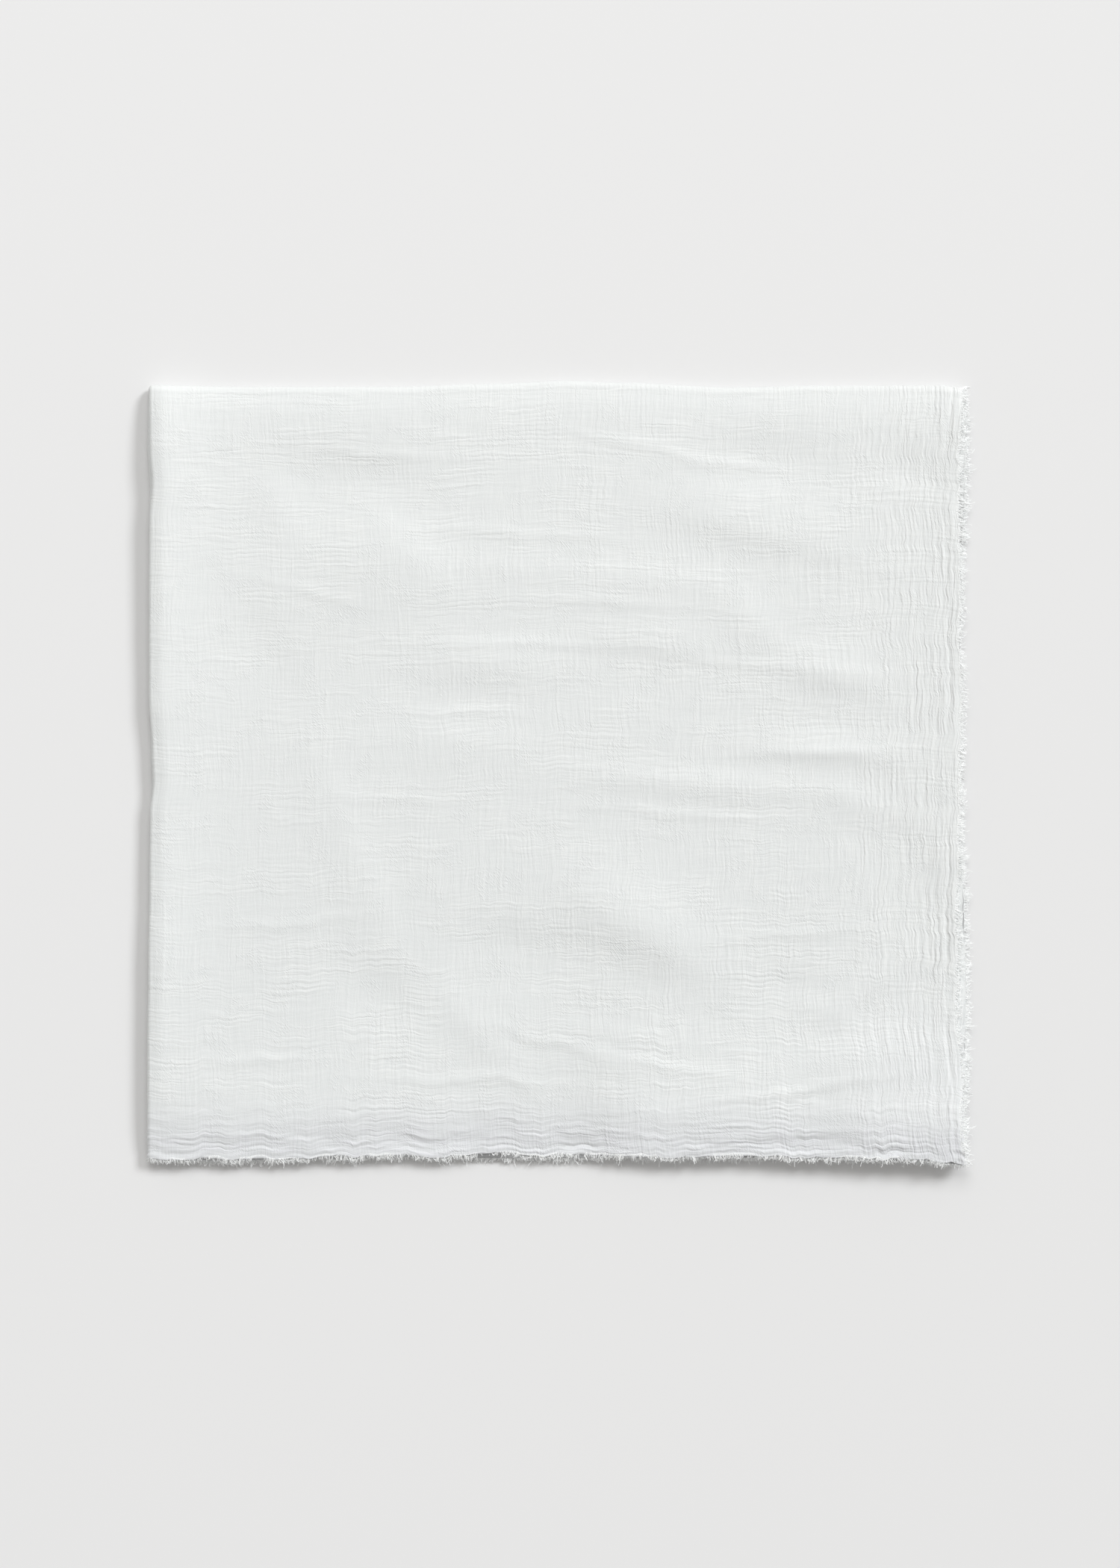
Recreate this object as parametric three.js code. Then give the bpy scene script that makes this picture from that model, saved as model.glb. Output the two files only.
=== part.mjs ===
// A nearly square scarf of white crinkle gauze, folded in four and laid flat.
// The cloth is folded once at its left side and once more at its top side. Its four layers lie
// back and forth on each other, and its four frayed sides meet at the right and at the bottom.
// Millimetres. +X points right, +Y points away from the viewer, +Z points up from the table.

import * as THREE from "three";

// Driving sizes of the cloth.
const CLOTH_THICK = 1.2;
const HALF_WIDTH = 543;
const HALF_DEPTH = 517;
const FRAY_STRIP = 3;
const STRIP_GAP = 0.4;

// How the folded stack lies on the table.
const LEFT_FOLD_X = -274;
const TOP_FOLD_Y = 261;
const STACK_RISE = 7.2;
const LEAST_RISE = 4.8;
const LEFT_FOLD_REACH = 2.4;
const TOP_FOLD_REACH = { outer: 5, inner: 1.3 };
const LEFT_FOLD_ARC = 5;
const TOP_FOLD_ARC = 6.5;

// The steps that the solid is cut into, and how much they crowd towards the folds and edges.
const STEPS_ACROSS = 22;
const STEPS_ALONG = 22;
const CROWDING = 0.4;
const LEFT_FOLD_STEPS = 6;
const TOP_FOLD_STEPS = 8;

// How far the swelling at the left fold reaches, and how the stack is pinched at its very edge,
// lies low along the top fold, curls up at the right, bulges behind the hem and droops to it.
const LEFT_SWELL_REACH = 30;
const LEFT_PINCH = { rise: -1.5, reach: 3.2 };
const TOP_PINCH = { rise: -2.3, reach: 9 };
const RIGHT_CURL = { rise: 1.8, reach: 20 };
const HEM_BULGE = { rise: 3.0, reach: 64 };
const HEM_DROOP_REACH = 20;

// The left fold of the upper pair of layers, and of the lower pair, which peeps out past it,
// with the height that the stack swells to beside it.
const LEFT_FOLD_LINE = [
  { y: -256, upper: -1.4, lower: -1.2, rise: 12.0 },
  { y: -180, upper: -1.4, lower: -0.6, rise: 12.2 },
  { y: -120, upper: -0.8, lower: -1.2, rise: 12.4 },
  { y: -60, upper: 0, lower: -0.9, rise: 11.4 },
  { y: -19, upper: 0.3, lower: 0.2, rise: 11.0 },
  { y: 1, upper: 2.4, lower: 1.0, rise: 11.0 },
  { y: 22, upper: 1.6, lower: 0.4, rise: 11.2 },
  { y: 60, upper: -0.4, lower: -0.6, rise: 12.4 },
  { y: 120, upper: -0.3, lower: -1.0, rise: 13.4 },
  { y: 175, upper: 0, lower: -0.9, rise: 14.2 },
  { y: 200, upper: 1.8, lower: -0.2, rise: 14.4 },
  { y: 222, upper: 0.3, lower: -2.0, rise: 14.4 },
  { y: 256, upper: -0.2, lower: -1.4, rise: 13.2 },
];

// The top fold, which bows out in the middle.
const TOP_FOLD_LINE = [
  { x: -274, out: 1.0 },
  { x: -210, out: 0 },
  { x: -110, out: 0 },
  { x: -50, out: 2.0 },
  { x: 0, out: 4.0 },
  { x: 40, out: 2.6 },
  { x: 110, out: -0.4 },
  { x: 170, out: 0.6 },
  { x: 245, out: 1.0 },
  { x: 272, out: -1.2 },
];

// The woven edge of each layer at the right, as a distance past the left fold's place.
// Layer 0 lies on the table and layer 3 is the one on top.
const RIGHT_EDGES = [
  { y: -256, layer0: 542.5, layer1: 541.5, layer2: 542.0, layer3: 543.5 },
  { y: -205, layer0: 541.0, layer1: 542.5, layer2: 543.0, layer3: 541.0 },
  { y: -150, layer0: 542.5, layer1: 543.5, layer2: 544.5, layer3: 538.0 },
  { y: -80, layer0: 541.5, layer1: 542.0, layer2: 543.5, layer3: 538.5 },
  { y: -20, layer0: 538.5, layer1: 538.0, layer2: 539.0, layer3: 540.5 },
  { y: 60, layer0: 537.0, layer1: 538.5, layer2: 537.5, layer3: 541.0 },
  { y: 130, layer0: 538.0, layer1: 539.0, layer2: 539.0, layer3: 540.0 },
  { y: 185, layer0: 541.5, layer1: 542.5, layer2: 543.5, layer3: 540.0 },
  { y: 235, layer0: 542.5, layer1: 543.0, layer2: 544.0, layer3: 540.0 },
  { y: 261, layer0: 541.5, layer1: 541.0, layer2: 542.0, layer3: 542.5 },
];

// The woven edge of each layer at the bottom, as a distance below the top fold's place, with
// the height that the stack keeps there. It lies low in the middle and high at the right.
const BOTTOM_EDGES = [
  { x: -274, layer0: 515.5, layer1: 515.0, layer2: 516.0, layer3: 515.5, rise: 7.6 },
  { x: -215, layer0: 514.5, layer1: 515.5, layer2: 516.5, layer3: 516.0, rise: 7.8 },
  { x: -150, layer0: 513.5, layer1: 514.5, layer2: 514.0, layer3: 514.0, rise: 7.4 },
  { x: -95, layer0: 513.0, layer1: 513.5, layer2: 514.0, layer3: 513.5, rise: 7.0 },
  { x: -50, layer0: 513.5, layer1: 514.5, layer2: 515.0, layer3: 512.0, rise: 5.8 },
  { x: 0, layer0: 512.5, layer1: 513.0, layer2: 514.0, layer3: 512.5, rise: 5.6 },
  { x: 55, layer0: 513.5, layer1: 514.0, layer2: 513.5, layer3: 514.5, rise: 10.4 },
  { x: 150, layer0: 513.0, layer1: 513.5, layer2: 514.5, layer3: 513.0, rise: 11.4 },
  { x: 215, layer0: 515.0, layer1: 515.5, layer2: 515.0, layer3: 515.0, rise: 14.2 },
  { x: 272, layer0: 517.0, layer1: 517.5, layer2: 517.5, layer3: 518.0, rise: 14.6 },
];

// The soft ridges, and with a negative rise the soft troughs, that the top layer lies in.
// turn is the crest's direction in degrees from +X, long its half length, and front and back
// how far the slope on its upper side and the one on its lower side reach.
const SWELLS = [
  { x: -112, y: 156, turn: -44, long: 46, front: 20, back: 60, rise: 2.2 },
  { x: -150, y: 203, turn: -8, long: 48, front: 20, back: 34, rise: -2.2 },
  { x: -192, y: 186, turn: -70, long: 22, front: 14, back: 14, rise: 0.8 },
  { x: -205, y: 95, turn: -62, long: 40, front: 16, back: 30, rise: -1.0 },
  { x: -40, y: 140, turn: -4, long: 60, front: 14, back: 22, rise: 0.8 },
  { x: 130, y: 170, turn: -14, long: 66, front: 26, back: 12, rise: 1.6 },
  { x: 138, y: 216, turn: -6, long: 46, front: 20, back: 20, rise: -1.6 },
  { x: 234, y: 208, turn: -10, long: 24, front: 16, back: 12, rise: -1.2 },
  { x: 60, y: 134, turn: -4, long: 46, front: 11, back: 18, rise: 1.0 },
  { x: 122, y: 112, turn: -38, long: 32, front: 14, back: 16, rise: 1.1 },
  { x: 62, y: 93, turn: -4, long: 46, front: 22, back: 9, rise: 1.1 },
  { x: 178, y: 73, turn: -10, long: 30, front: 16, back: 11, rise: 1.6 },
  { x: -45, y: 81, turn: -3, long: 42, front: 12, back: 18, rise: 1.1 },
  { x: -70, y: 58, turn: -6, long: 40, front: 14, back: 14, rise: -0.6 },
  { x: -66, y: 25, turn: -2, long: 50, front: 12, back: 20, rise: 0.7 },
  { x: 178, y: 21, turn: -3, long: 48, front: 10, back: 9, rise: 1.2 },
  { x: 172, y: 42, turn: -3, long: 50, front: 12, back: 10, rise: -0.5 },
  { x: 98, y: -1, turn: -4, long: 80, front: 9, back: 11, rise: 1.1 },
  { x: 205, y: -16, turn: -18, long: 34, front: 10, back: 12, rise: 0.8 },
  { x: -140, y: -50, turn: -68, long: 90, front: 14, back: 22, rise: 0.9 },
  { x: 52, y: -98, turn: -28, long: 52, front: 28, back: 20, rise: 3.0 },
  { x: -30, y: -114, turn: -8, long: 48, front: 17, back: 34, rise: -1.8 },
  { x: 150, y: -138, turn: -10, long: 22, front: 12, back: 14, rise: -1.0 },
  { x: -118, y: -146, turn: -38, long: 32, front: 20, back: 22, rise: -1.4 },
  { x: 40, y: -170, turn: -6, long: 60, front: 8, back: 8, rise: 0.7 },
  { x: 40, y: -192, turn: -8, long: 56, front: 9, back: 8, rise: 0.8 },
  { x: 198, y: -188, turn: 10, long: 54, front: 18, back: 15, rise: 2.5 },
  { x: 210, y: -130, turn: 38, long: 44, front: 10, back: 12, rise: 0.9 },
  { x: 170, y: -150, turn: -20, long: 34, front: 9, back: 9, rise: 0.8 },
  { x: -60, y: -168, turn: -58, long: 36, front: 10, back: 12, rise: 0.8 },
  { x: -30, y: -196, turn: -58, long: 40, front: 10, back: 12, rise: 0.7 },
  { x: 234, y: -60, turn: -62, long: 70, front: 16, back: 34, rise: -0.9 },
];

// The locks of yarn on a frayed side, with their usual distance. The half of the side that
// lies in the upper layers shows more of them.
const UPPER_LOCKS = { pitch: 12.4, reach: 4.6 };
const LOWER_LOCKS = { pitch: 26, reach: 4.2 };
const LOCK_WIDTH = 8.4;
const LOCK_UNEVEN = 0.3;
const LOCK_SHIFT = 0.1;
const LOCK_LEAN = 1.7;

// Colours of bleached cotton gauze and of its loose yarn.
const GAUZE_WHITE = 0xe9ebea;
const YARN_WHITE = 0xf1f2f1;
const COTTON_ROUGHNESS = 0.95;

// A smooth step from 0 to 1.
function ease(share) {
  const t = Math.min(1, Math.max(0, share));
  return t * t * (3 - 2 * t);
}

// The value of one column of a table at a place, eased from row to row.
function fromTable(rows, place, column, at) {
  const next = rows.findIndex((row) => row[place] > at);
  if (next === 0) {
    return rows[0][column];
  }
  if (next < 0) {
    return rows[rows.length - 1][column];
  }
  const before = rows[next - 1];
  const after = rows[next];
  const share = ease((at - before[place]) / (after[place] - before[place]));
  return before[column] + (after[column] - before[column]) * share;
}

// The height of one soft ridge or trough at a point of the stack.
function swellHeight(swell, x, y) {
  const turn = THREE.MathUtils.degToRad(swell.turn);
  const along = (x - swell.x) * Math.cos(turn) + (y - swell.y) * Math.sin(turn);
  const aside = (y - swell.y) * Math.cos(turn) - (x - swell.x) * Math.sin(turn);
  const reach = aside > 0 ? swell.front : swell.back;
  return swell.rise * Math.exp(-((along / swell.long) ** 2) - (aside / reach) ** 2);
}

// How far the top layer's middle lies above the lowest layer's middle.
function stackRise(x, y) {
  const fromLeft = Math.max(0, x - LEFT_FOLD_X);
  const fromTop = Math.max(0, TOP_FOLD_Y - y);
  const fromRight = Math.max(0, HALF_WIDTH - LEFT_FOLD_ARC - fromLeft);
  const fromHem = Math.max(0, HALF_DEPTH - TOP_FOLD_ARC - fromTop);
  const leftSwell = fromTable(LEFT_FOLD_LINE, "y", "rise", y) - STACK_RISE;
  let rise = STACK_RISE;
  rise += leftSwell * Math.exp(-((fromLeft / LEFT_SWELL_REACH) ** 1.5));
  rise += LEFT_PINCH.rise * Math.exp(-((fromLeft / LEFT_PINCH.reach) ** 2));
  rise += TOP_PINCH.rise * Math.exp(-fromTop / TOP_PINCH.reach);
  rise += RIGHT_CURL.rise * Math.exp(-fromRight / RIGHT_CURL.reach);
  for (const swell of SWELLS) {
    rise += swellHeight(swell, x, y);
  }
  const hemRise = fromTable(BOTTOM_EDGES, "x", "rise", x);
  const bulged = hemRise + HEM_BULGE.rise;
  rise += (bulged - rise) * Math.exp(-((fromHem / HEM_BULGE.reach) ** 2));
  rise += (hemRise - rise) * Math.exp(-((fromHem / HEM_DROOP_REACH) ** 2));
  return LEAST_RISE + Math.log1p(Math.exp(2 * (rise - LEAST_RISE))) / 2;
}

// Where a point of the flat cloth lies once folded. across is measured from the first fold and
// along from the second one. Where both are positive the cloth lies on the table.
function foldedPoint(across, along) {
  const firstTurn = (Math.PI / 2) * THREE.MathUtils.clamp(across / LEFT_FOLD_ARC, -1, 1);
  const secondTurn = (Math.PI / 2) * THREE.MathUtils.clamp(along / TOP_FOLD_ARC, -1, 1);
  const outward = Math.sin(firstTurn);
  const downward = Math.sin(secondTurn);
  const level = 1 / 2 - (1 / 3 + outward / 6) * downward;
  const fromLeft = Math.max(0, Math.abs(across) - LEFT_FOLD_ARC);
  const fromTop = Math.max(0, Math.abs(along) - TOP_FOLD_ARC);
  const plainX = LEFT_FOLD_X + fromLeft;
  const plainY = TOP_FOLD_Y - fromTop;

  const lowerShare = (1 + downward) / 2;
  const outerShare = (1 + outward) / 2;
  const column = (outer, lower) => {
    const layers = outer ? ["layer3", "layer0"] : ["layer2", "layer1"];
    return layers[lower ? 1 : 0];
  };
  const blend = (read) => {
    const upper = outerShare * read(column(true, false)) + (1 - outerShare) * read(column(false, false));
    const lower = outerShare * read(column(true, true)) + (1 - outerShare) * read(column(false, true));
    return lowerShare * lower + (1 - lowerShare) * upper;
  };
  const rightEdge = blend((layer) => fromTable(RIGHT_EDGES, "y", layer, plainY));
  const bottomEdge = blend((layer) => fromTable(BOTTOM_EDGES, "x", layer, plainX));
  const leftFold =
    (1 - lowerShare) * fromTable(LEFT_FOLD_LINE, "y", "upper", plainY) +
    lowerShare * fromTable(LEFT_FOLD_LINE, "y", "lower", plainY);
  const topFold = fromTable(TOP_FOLD_LINE, "x", "out", plainX);

  const acrossShare = Math.min(1, fromLeft / (HALF_WIDTH - LEFT_FOLD_ARC));
  const alongShare = Math.min(1, fromTop / (HALF_DEPTH - TOP_FOLD_ARC));
  const pastRight = Math.max(0, Math.abs(across) - HALF_WIDTH);
  const pastHem = Math.max(0, Math.abs(along) - HALF_DEPTH);
  const { outer: outerReach, inner: innerReach } = TOP_FOLD_REACH;
  const foldBack = outerShare * outerReach + (1 - outerShare) * innerReach;
  const x =
    LEFT_FOLD_X +
    leftFold * (1 - acrossShare) +
    rightEdge * acrossShare +
    pastRight -
    LEFT_FOLD_REACH * (Math.cos(firstTurn) - 1 + acrossShare);
  const y =
    TOP_FOLD_Y +
    (topFold - outerReach) * (1 - alongShare) -
    bottomEdge * alongShare -
    pastHem +
    foldBack * Math.cos(secondTurn);
  return new THREE.Vector3(x, y, CLOTH_THICK / 2 + level * stackRise(plainX, plainY));
}

// The direction that the outside of the folded cloth faces at a point.
function facing(across, along) {
  const step = 0.25;
  const alongX = foldedPoint(across + step, along).sub(foldedPoint(across - step, along));
  const alongY = foldedPoint(across, along + step).sub(foldedPoint(across, along - step));
  return alongX.cross(alongY).normalize();
}

// A point on the outside of the cloth with side 1, or on its inside with side -1.
function clothSkin(across, along, side) {
  const skin = foldedPoint(across, along);
  skin.addScaledVector(facing(across, along), (side * CLOTH_THICK) / 2);
  skin.z = Math.max(0, skin.z);
  return skin;
}

// A closed solid from its corners and its triangles.
function solidFrom(corners, faces) {
  const geometry = new THREE.BufferGeometry();
  geometry.setAttribute("position", new THREE.Float32BufferAttribute(corners, 3));
  geometry.setIndex(faces);
  return geometry;
}

// Even steps from 0 to 1, drawn closer together towards both ends.
function crowded(share) {
  return share - (CROWDING * Math.sin(2 * Math.PI * share)) / (2 * Math.PI);
}

// The places where the cloth is divided on both sides of a fold, close together in the fold.
function divisions(half, arc, steps, foldSteps) {
  const places = [];
  for (let i = 0; i < steps; i += 1) {
    places.push(-half + (half - arc) * crowded(i / steps));
  }
  for (let i = 0; i <= foldSteps; i += 1) {
    places.push(-arc + (2 * arc * i) / foldSteps);
  }
  for (let i = 1; i <= steps; i += 1) {
    places.push(arc + (half - arc) * crowded(i / steps));
  }
  return places;
}

const ACROSS_PLACES = divisions(HALF_WIDTH, LEFT_FOLD_ARC, STEPS_ACROSS, LEFT_FOLD_STEPS);
const ALONG_PLACES = divisions(HALF_DEPTH, TOP_FOLD_ARC, STEPS_ALONG, TOP_FOLD_STEPS);

// The cloth: an outside and an inside skin of the same divisions, joined along the four sides.
function clothGeometry() {
  const acrossAt = ACROSS_PLACES;
  const alongAt = ALONG_PLACES;
  const rows = alongAt.length;
  const skinSize = acrossAt.length * rows;
  const corners = [];
  for (const side of [1, -1]) {
    for (const across of acrossAt) {
      for (const along of alongAt) {
        corners.push(...clothSkin(across, along, side).toArray());
      }
    }
  }
  const faces = [];
  const addQuad = (a, b, c, d) => faces.push(a, b, c, a, c, d);
  for (let i = 0; i + 1 < acrossAt.length; i += 1) {
    for (let j = 0; j + 1 < rows; j += 1) {
      const ring = [i * rows + j, (i + 1) * rows + j, (i + 1) * rows + j + 1, i * rows + j + 1];
      // The diagonals of all four layers lie over each other, so the layers never touch.
      const middle = (acrossAt[i] + acrossAt[i + 1]) * (alongAt[j] + alongAt[j + 1]);
      const [a, b, c, d] = middle > 0 ? [ring[1], ring[2], ring[3], ring[0]] : ring;
      addQuad(a, b, c, d);
      addQuad(a + skinSize, d + skinSize, c + skinSize, b + skinSize);
    }
  }
  const lastColumn = (acrossAt.length - 1) * rows;
  for (let j = 0; j + 1 < rows; j += 1) {
    addQuad(j, j + 1, j + 1 + skinSize, j + skinSize);
    const k = lastColumn + j;
    addQuad(k, k + skinSize, k + 1 + skinSize, k + 1);
  }
  for (let i = 0; i + 1 < acrossAt.length; i += 1) {
    const k = i * rows;
    addQuad(k, k + skinSize, k + rows + skinSize, k + rows);
    const m = k + rows - 1;
    addQuad(m, m + rows, m + rows + skinSize, m + skinSize);
  }
  return solidFrom(corners, faces);
}

// A repeatable uneven value between -1 and 1.
function uneven(seed) {
  const wave = Math.sin(seed * 12.9898) * 43758.5453;
  return 2 * (wave - Math.floor(wave)) - 1;
}

// The stations of a frayed side, from its end in the upper layers to its end in the lower ones.
// A stretch of the strip runs from each station to the next, and carries a lock or is bare.
function frayStations({ places, seed }) {
  const stations = [];
  for (let i = 0; i + 1 < places.length; i += 1) {
    stations.push({ at: places[i] });
    const { pitch, reach } = places[i] < 0 ? UPPER_LOCKS : LOWER_LOCKS;
    const length = places[i + 1] - places[i];
    const locks = Math.round(length / pitch);
    for (let k = 0; k < locks; k += 1) {
      const own = seed + 1.7 * i + 31 * k;
      const middle = places[i] + (length / locks) * (k + 0.5 + LOCK_SHIFT * uneven(own));
      const width = LOCK_WIDTH * (1 + LOCK_UNEVEN * uneven(own + 7));
      const lock = {
        reach: reach * (1 + LOCK_UNEVEN * uneven(own + 3)),
        lean: LOCK_LEAN * Math.sin(0.9 * own),
      };
      stations.push({ at: middle - width / 2, lock }, { at: middle + width / 2 });
    }
  }
  stations.push({ at: places[places.length - 1] });
  return stations;
}

// A point of a frayed side, on the straight line between the two nearest divisions of the
// cloth, so that the strip stays parallel to the cloth's own faceted edge.
function besideEdge(edge, out, at, read) {
  const next = Math.max(1, edge.places.findIndex((place) => place >= at - 1e-9));
  const [before, after] = [edge.places[next - 1], edge.places[next]];
  const share = (at - before) / (after - before);
  return read(...edge.at(out, before)).lerp(read(...edge.at(out, after)), share);
}

// A narrow strip of the cloth's edge, with the locks of loose yarn fused to its outer side.
function frayGeometry(edge) {
  const stations = frayStations(edge);
  const corners = [];
  const faces = [];
  const addQuad = (a, b, c, d) => faces.push(a, b, c, a, c, d);
  const addTriangle = (a, b, c) => faces.push(a, b, c);
  for (const station of stations) {
    for (const out of [STRIP_GAP, FRAY_STRIP]) {
      for (const side of [1, -1]) {
        const skin = (across, along) => clothSkin(across, along, side);
        corners.push(...besideEdge(edge, out, station.at, skin).toArray());
      }
    }
  }
  const last = 4 * (stations.length - 1);
  for (let k = 0; k < last; k += 4) {
    const [inTop, inUnder, outTop, outUnder] = [k, k + 1, k + 2, k + 3];
    addQuad(inTop, outTop, outTop + 4, inTop + 4);
    addQuad(inUnder, inUnder + 4, outUnder + 4, outUnder);
    addQuad(inTop, inTop + 4, inUnder + 4, inUnder);
    const { lock } = stations[k / 4];
    if (!lock) {
      addQuad(outTop, outUnder, outUnder + 4, outTop + 4);
      continue;
    }
    const middle = (stations[k / 4].at + stations[k / 4 + 1].at) / 2;
    const root = besideEdge(edge, FRAY_STRIP, middle, foldedPoint);
    const tip = besideEdge(edge, FRAY_STRIP + lock.reach, middle + lock.lean, foldedPoint);
    tip.z = root.z < CLOTH_THICK ? 0 : root.z;
    const tipIndex = corners.length / 3;
    corners.push(...tip.toArray());
    addTriangle(outTop, tipIndex, outTop + 4);
    addTriangle(outTop, outUnder, tipIndex);
    addTriangle(outUnder, outUnder + 4, tipIndex);
    addTriangle(outUnder + 4, outTop + 4, tipIndex);
  }
  addQuad(0, 1, 3, 2);
  addQuad(last, last + 2, last + 3, last + 1);
  if (edge.turned) {
    for (let i = 0; i < faces.length; i += 3) {
      [faces[i + 1], faces[i + 2]] = [faces[i + 2], faces[i + 1]];
    }
  }
  return solidFrom(corners, faces);
}

function cottonMesh(name, geometry, color) {
  const material = new THREE.MeshStandardMaterial({
    color,
    roughness: COTTON_ROUGHNESS,
    metalness: 0,
    flatShading: true,
  });
  const mesh = new THREE.Mesh(geometry, material);
  mesh.name = name;
  return mesh;
}

// The four frayed sides. The right ones bend round the top fold, the bottom ones round the
// left fold. sign says which half of the cloth the side is on.
const FRAYED_SIDES = [
  { name: "fringe_right_outer", right: true, sign: 1, seed: 3 },
  { name: "fringe_right_inner", right: true, sign: -1, seed: 11 },
  { name: "fringe_bottom_lower", right: false, sign: 1, seed: 19 },
  { name: "fringe_bottom_upper", right: false, sign: -1, seed: 29 },
];

function frayedSide({ name, right, sign, seed }) {
  const rightEdge = {
    places: ALONG_PLACES,
    at: (out, along) => [sign * (HALF_WIDTH + out), along],
    turned: sign < 0,
    seed,
  };
  const bottomEdge = {
    places: ACROSS_PLACES,
    at: (out, across) => [across, sign * (HALF_DEPTH + out)],
    turned: sign > 0,
    seed,
  };
  return cottonMesh(name, frayGeometry(right ? rightEdge : bottomEdge), YARN_WHITE);
}

const scarf = new THREE.Group();
scarf.add(cottonMesh("cloth", clothGeometry(), GAUZE_WHITE));
const fringes = new THREE.Group();
for (const side of FRAYED_SIDES) {
  fringes.add(frayedSide(side));
}
scarf.add(fringes);

// The origin is at the middle of the stack's footprint, on the table.
const box = new THREE.Box3().setFromObject(scarf);
const middle = box.getCenter(new THREE.Vector3());
scarf.position.set(-middle.x, -middle.y, -box.min.z);

export default scarf;
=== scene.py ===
"""A folded crinkle scarf: white cotton crepe gauze, folded in four, with four frayed edges.

Lengths in the tables are millimetres on the folded scarf as it lies, +X to the right and +Y
away from the viewer. Blender's own lengths are metres.
"""

import math
from collections import namedtuple
from functools import partial

import bpy
import numpy as np
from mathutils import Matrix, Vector


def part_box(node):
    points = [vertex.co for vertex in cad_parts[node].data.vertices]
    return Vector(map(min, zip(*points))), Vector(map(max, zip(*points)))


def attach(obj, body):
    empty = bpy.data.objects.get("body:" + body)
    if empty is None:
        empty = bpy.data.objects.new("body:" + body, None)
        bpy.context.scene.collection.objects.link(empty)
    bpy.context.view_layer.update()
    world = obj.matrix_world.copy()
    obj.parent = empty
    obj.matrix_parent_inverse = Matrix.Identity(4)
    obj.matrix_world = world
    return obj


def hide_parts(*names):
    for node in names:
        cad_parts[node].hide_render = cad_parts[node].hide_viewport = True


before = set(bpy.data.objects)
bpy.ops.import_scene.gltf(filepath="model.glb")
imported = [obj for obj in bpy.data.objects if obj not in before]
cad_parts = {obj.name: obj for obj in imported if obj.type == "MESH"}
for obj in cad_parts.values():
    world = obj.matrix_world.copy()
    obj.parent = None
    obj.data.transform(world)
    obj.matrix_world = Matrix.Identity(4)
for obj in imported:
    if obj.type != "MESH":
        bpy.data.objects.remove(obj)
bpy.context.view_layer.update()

bl_info = {
    "name": "Folded Crinkle Scarf",
    "version": (1, 0, 0),
    "blender": (4, 5, 0),
    "location": "3D View > Sidebar > Scarf",
    "description": "Builds a crinkle gauze scarf that is folded in four, with its frayed edges",
    "category": "Object",
}

MM = 0.001

# The cut of the cloth and how it is folded, as in the frame's own solids.
HALF_WIDTH = 543.0
HALF_DEPTH = 517.0
LEFT_FOLD_X = -274.0
TOP_FOLD_Y = 261.0
STACK_RISE = 7.2
LEAST_RISE = 4.8
LEFT_FOLD_REACH = 2.4
TOP_FOLD_REACH = {"outer": 5.0, "inner": 1.3}
LEFT_FOLD_ARC = 5.0
TOP_FOLD_ARC = 6.5
CAD_THICKNESS = 1.2
CAD_STEPS = 22
CAD_FOLD_STEPS = {"left": 6, "top": 8}
CAD_CROWDING = 0.4

# How the stack is pinched at its left edge, lies low along the top fold, curls up at the right,
# bulges behind the hem and droops to it: how high, and how far in that reaches.
LEFT_SWELL_REACH = 30.0
LEFT_PINCH = (-1.5, 3.2)
TOP_PINCH = (-2.3, 9.0)
RIGHT_CURL = (1.8, 20.0)
HEM_BULGE = (3.0, 64.0)
HEM_DROOP_REACH = 20.0

# Columns: y, the upper fold's place and the lower fold's place, outward from the fold's line,
# and the height that the stack swells to beside the fold.
LEFT_FOLD_LINE = np.array([
    (-256, -1.4, -1.2, 12.0),
    (-180, -1.4, -0.6, 12.2),
    (-120, -0.8, -1.2, 12.4),
    (-60, 0.0, -0.9, 11.4),
    (-19, 0.3, 0.2, 11.0),
    (1, 2.4, 1.0, 11.0),
    (22, 1.6, 0.4, 11.2),
    (60, -0.4, -0.6, 12.4),
    (120, -0.3, -1.0, 13.4),
    (175, 0.0, -0.9, 14.2),
    (200, 1.8, -0.2, 14.4),
    (222, 0.3, -2.0, 14.4),
    (256, -0.2, -1.4, 13.2),
])

# Columns: x and how far the top fold bows out there.
TOP_FOLD_LINE = np.array([
    (-274, 1.0),
    (-210, 0.0),
    (-110, 0.0),
    (-50, 2.0),
    (0, 4.0),
    (40, 2.6),
    (110, -0.4),
    (170, 0.6),
    (245, 1.0),
    (272, -1.2),
])

# Columns: y and the right edge of layers 0 to 3, the table's first, from the left fold's line.
RIGHT_EDGES = np.array([
    (-256, 542.5, 541.5, 542.0, 543.5),
    (-205, 541.0, 542.5, 543.0, 541.0),
    (-150, 542.5, 543.5, 544.5, 538.0),
    (-80, 541.5, 542.0, 543.5, 538.5),
    (-20, 538.5, 538.0, 539.0, 540.5),
    (60, 537.0, 538.5, 537.5, 541.0),
    (130, 538.0, 539.0, 539.0, 540.0),
    (185, 541.5, 542.5, 543.5, 540.0),
    (235, 542.5, 543.0, 544.0, 540.0),
    (261, 541.5, 541.0, 542.0, 542.5),
])

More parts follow.
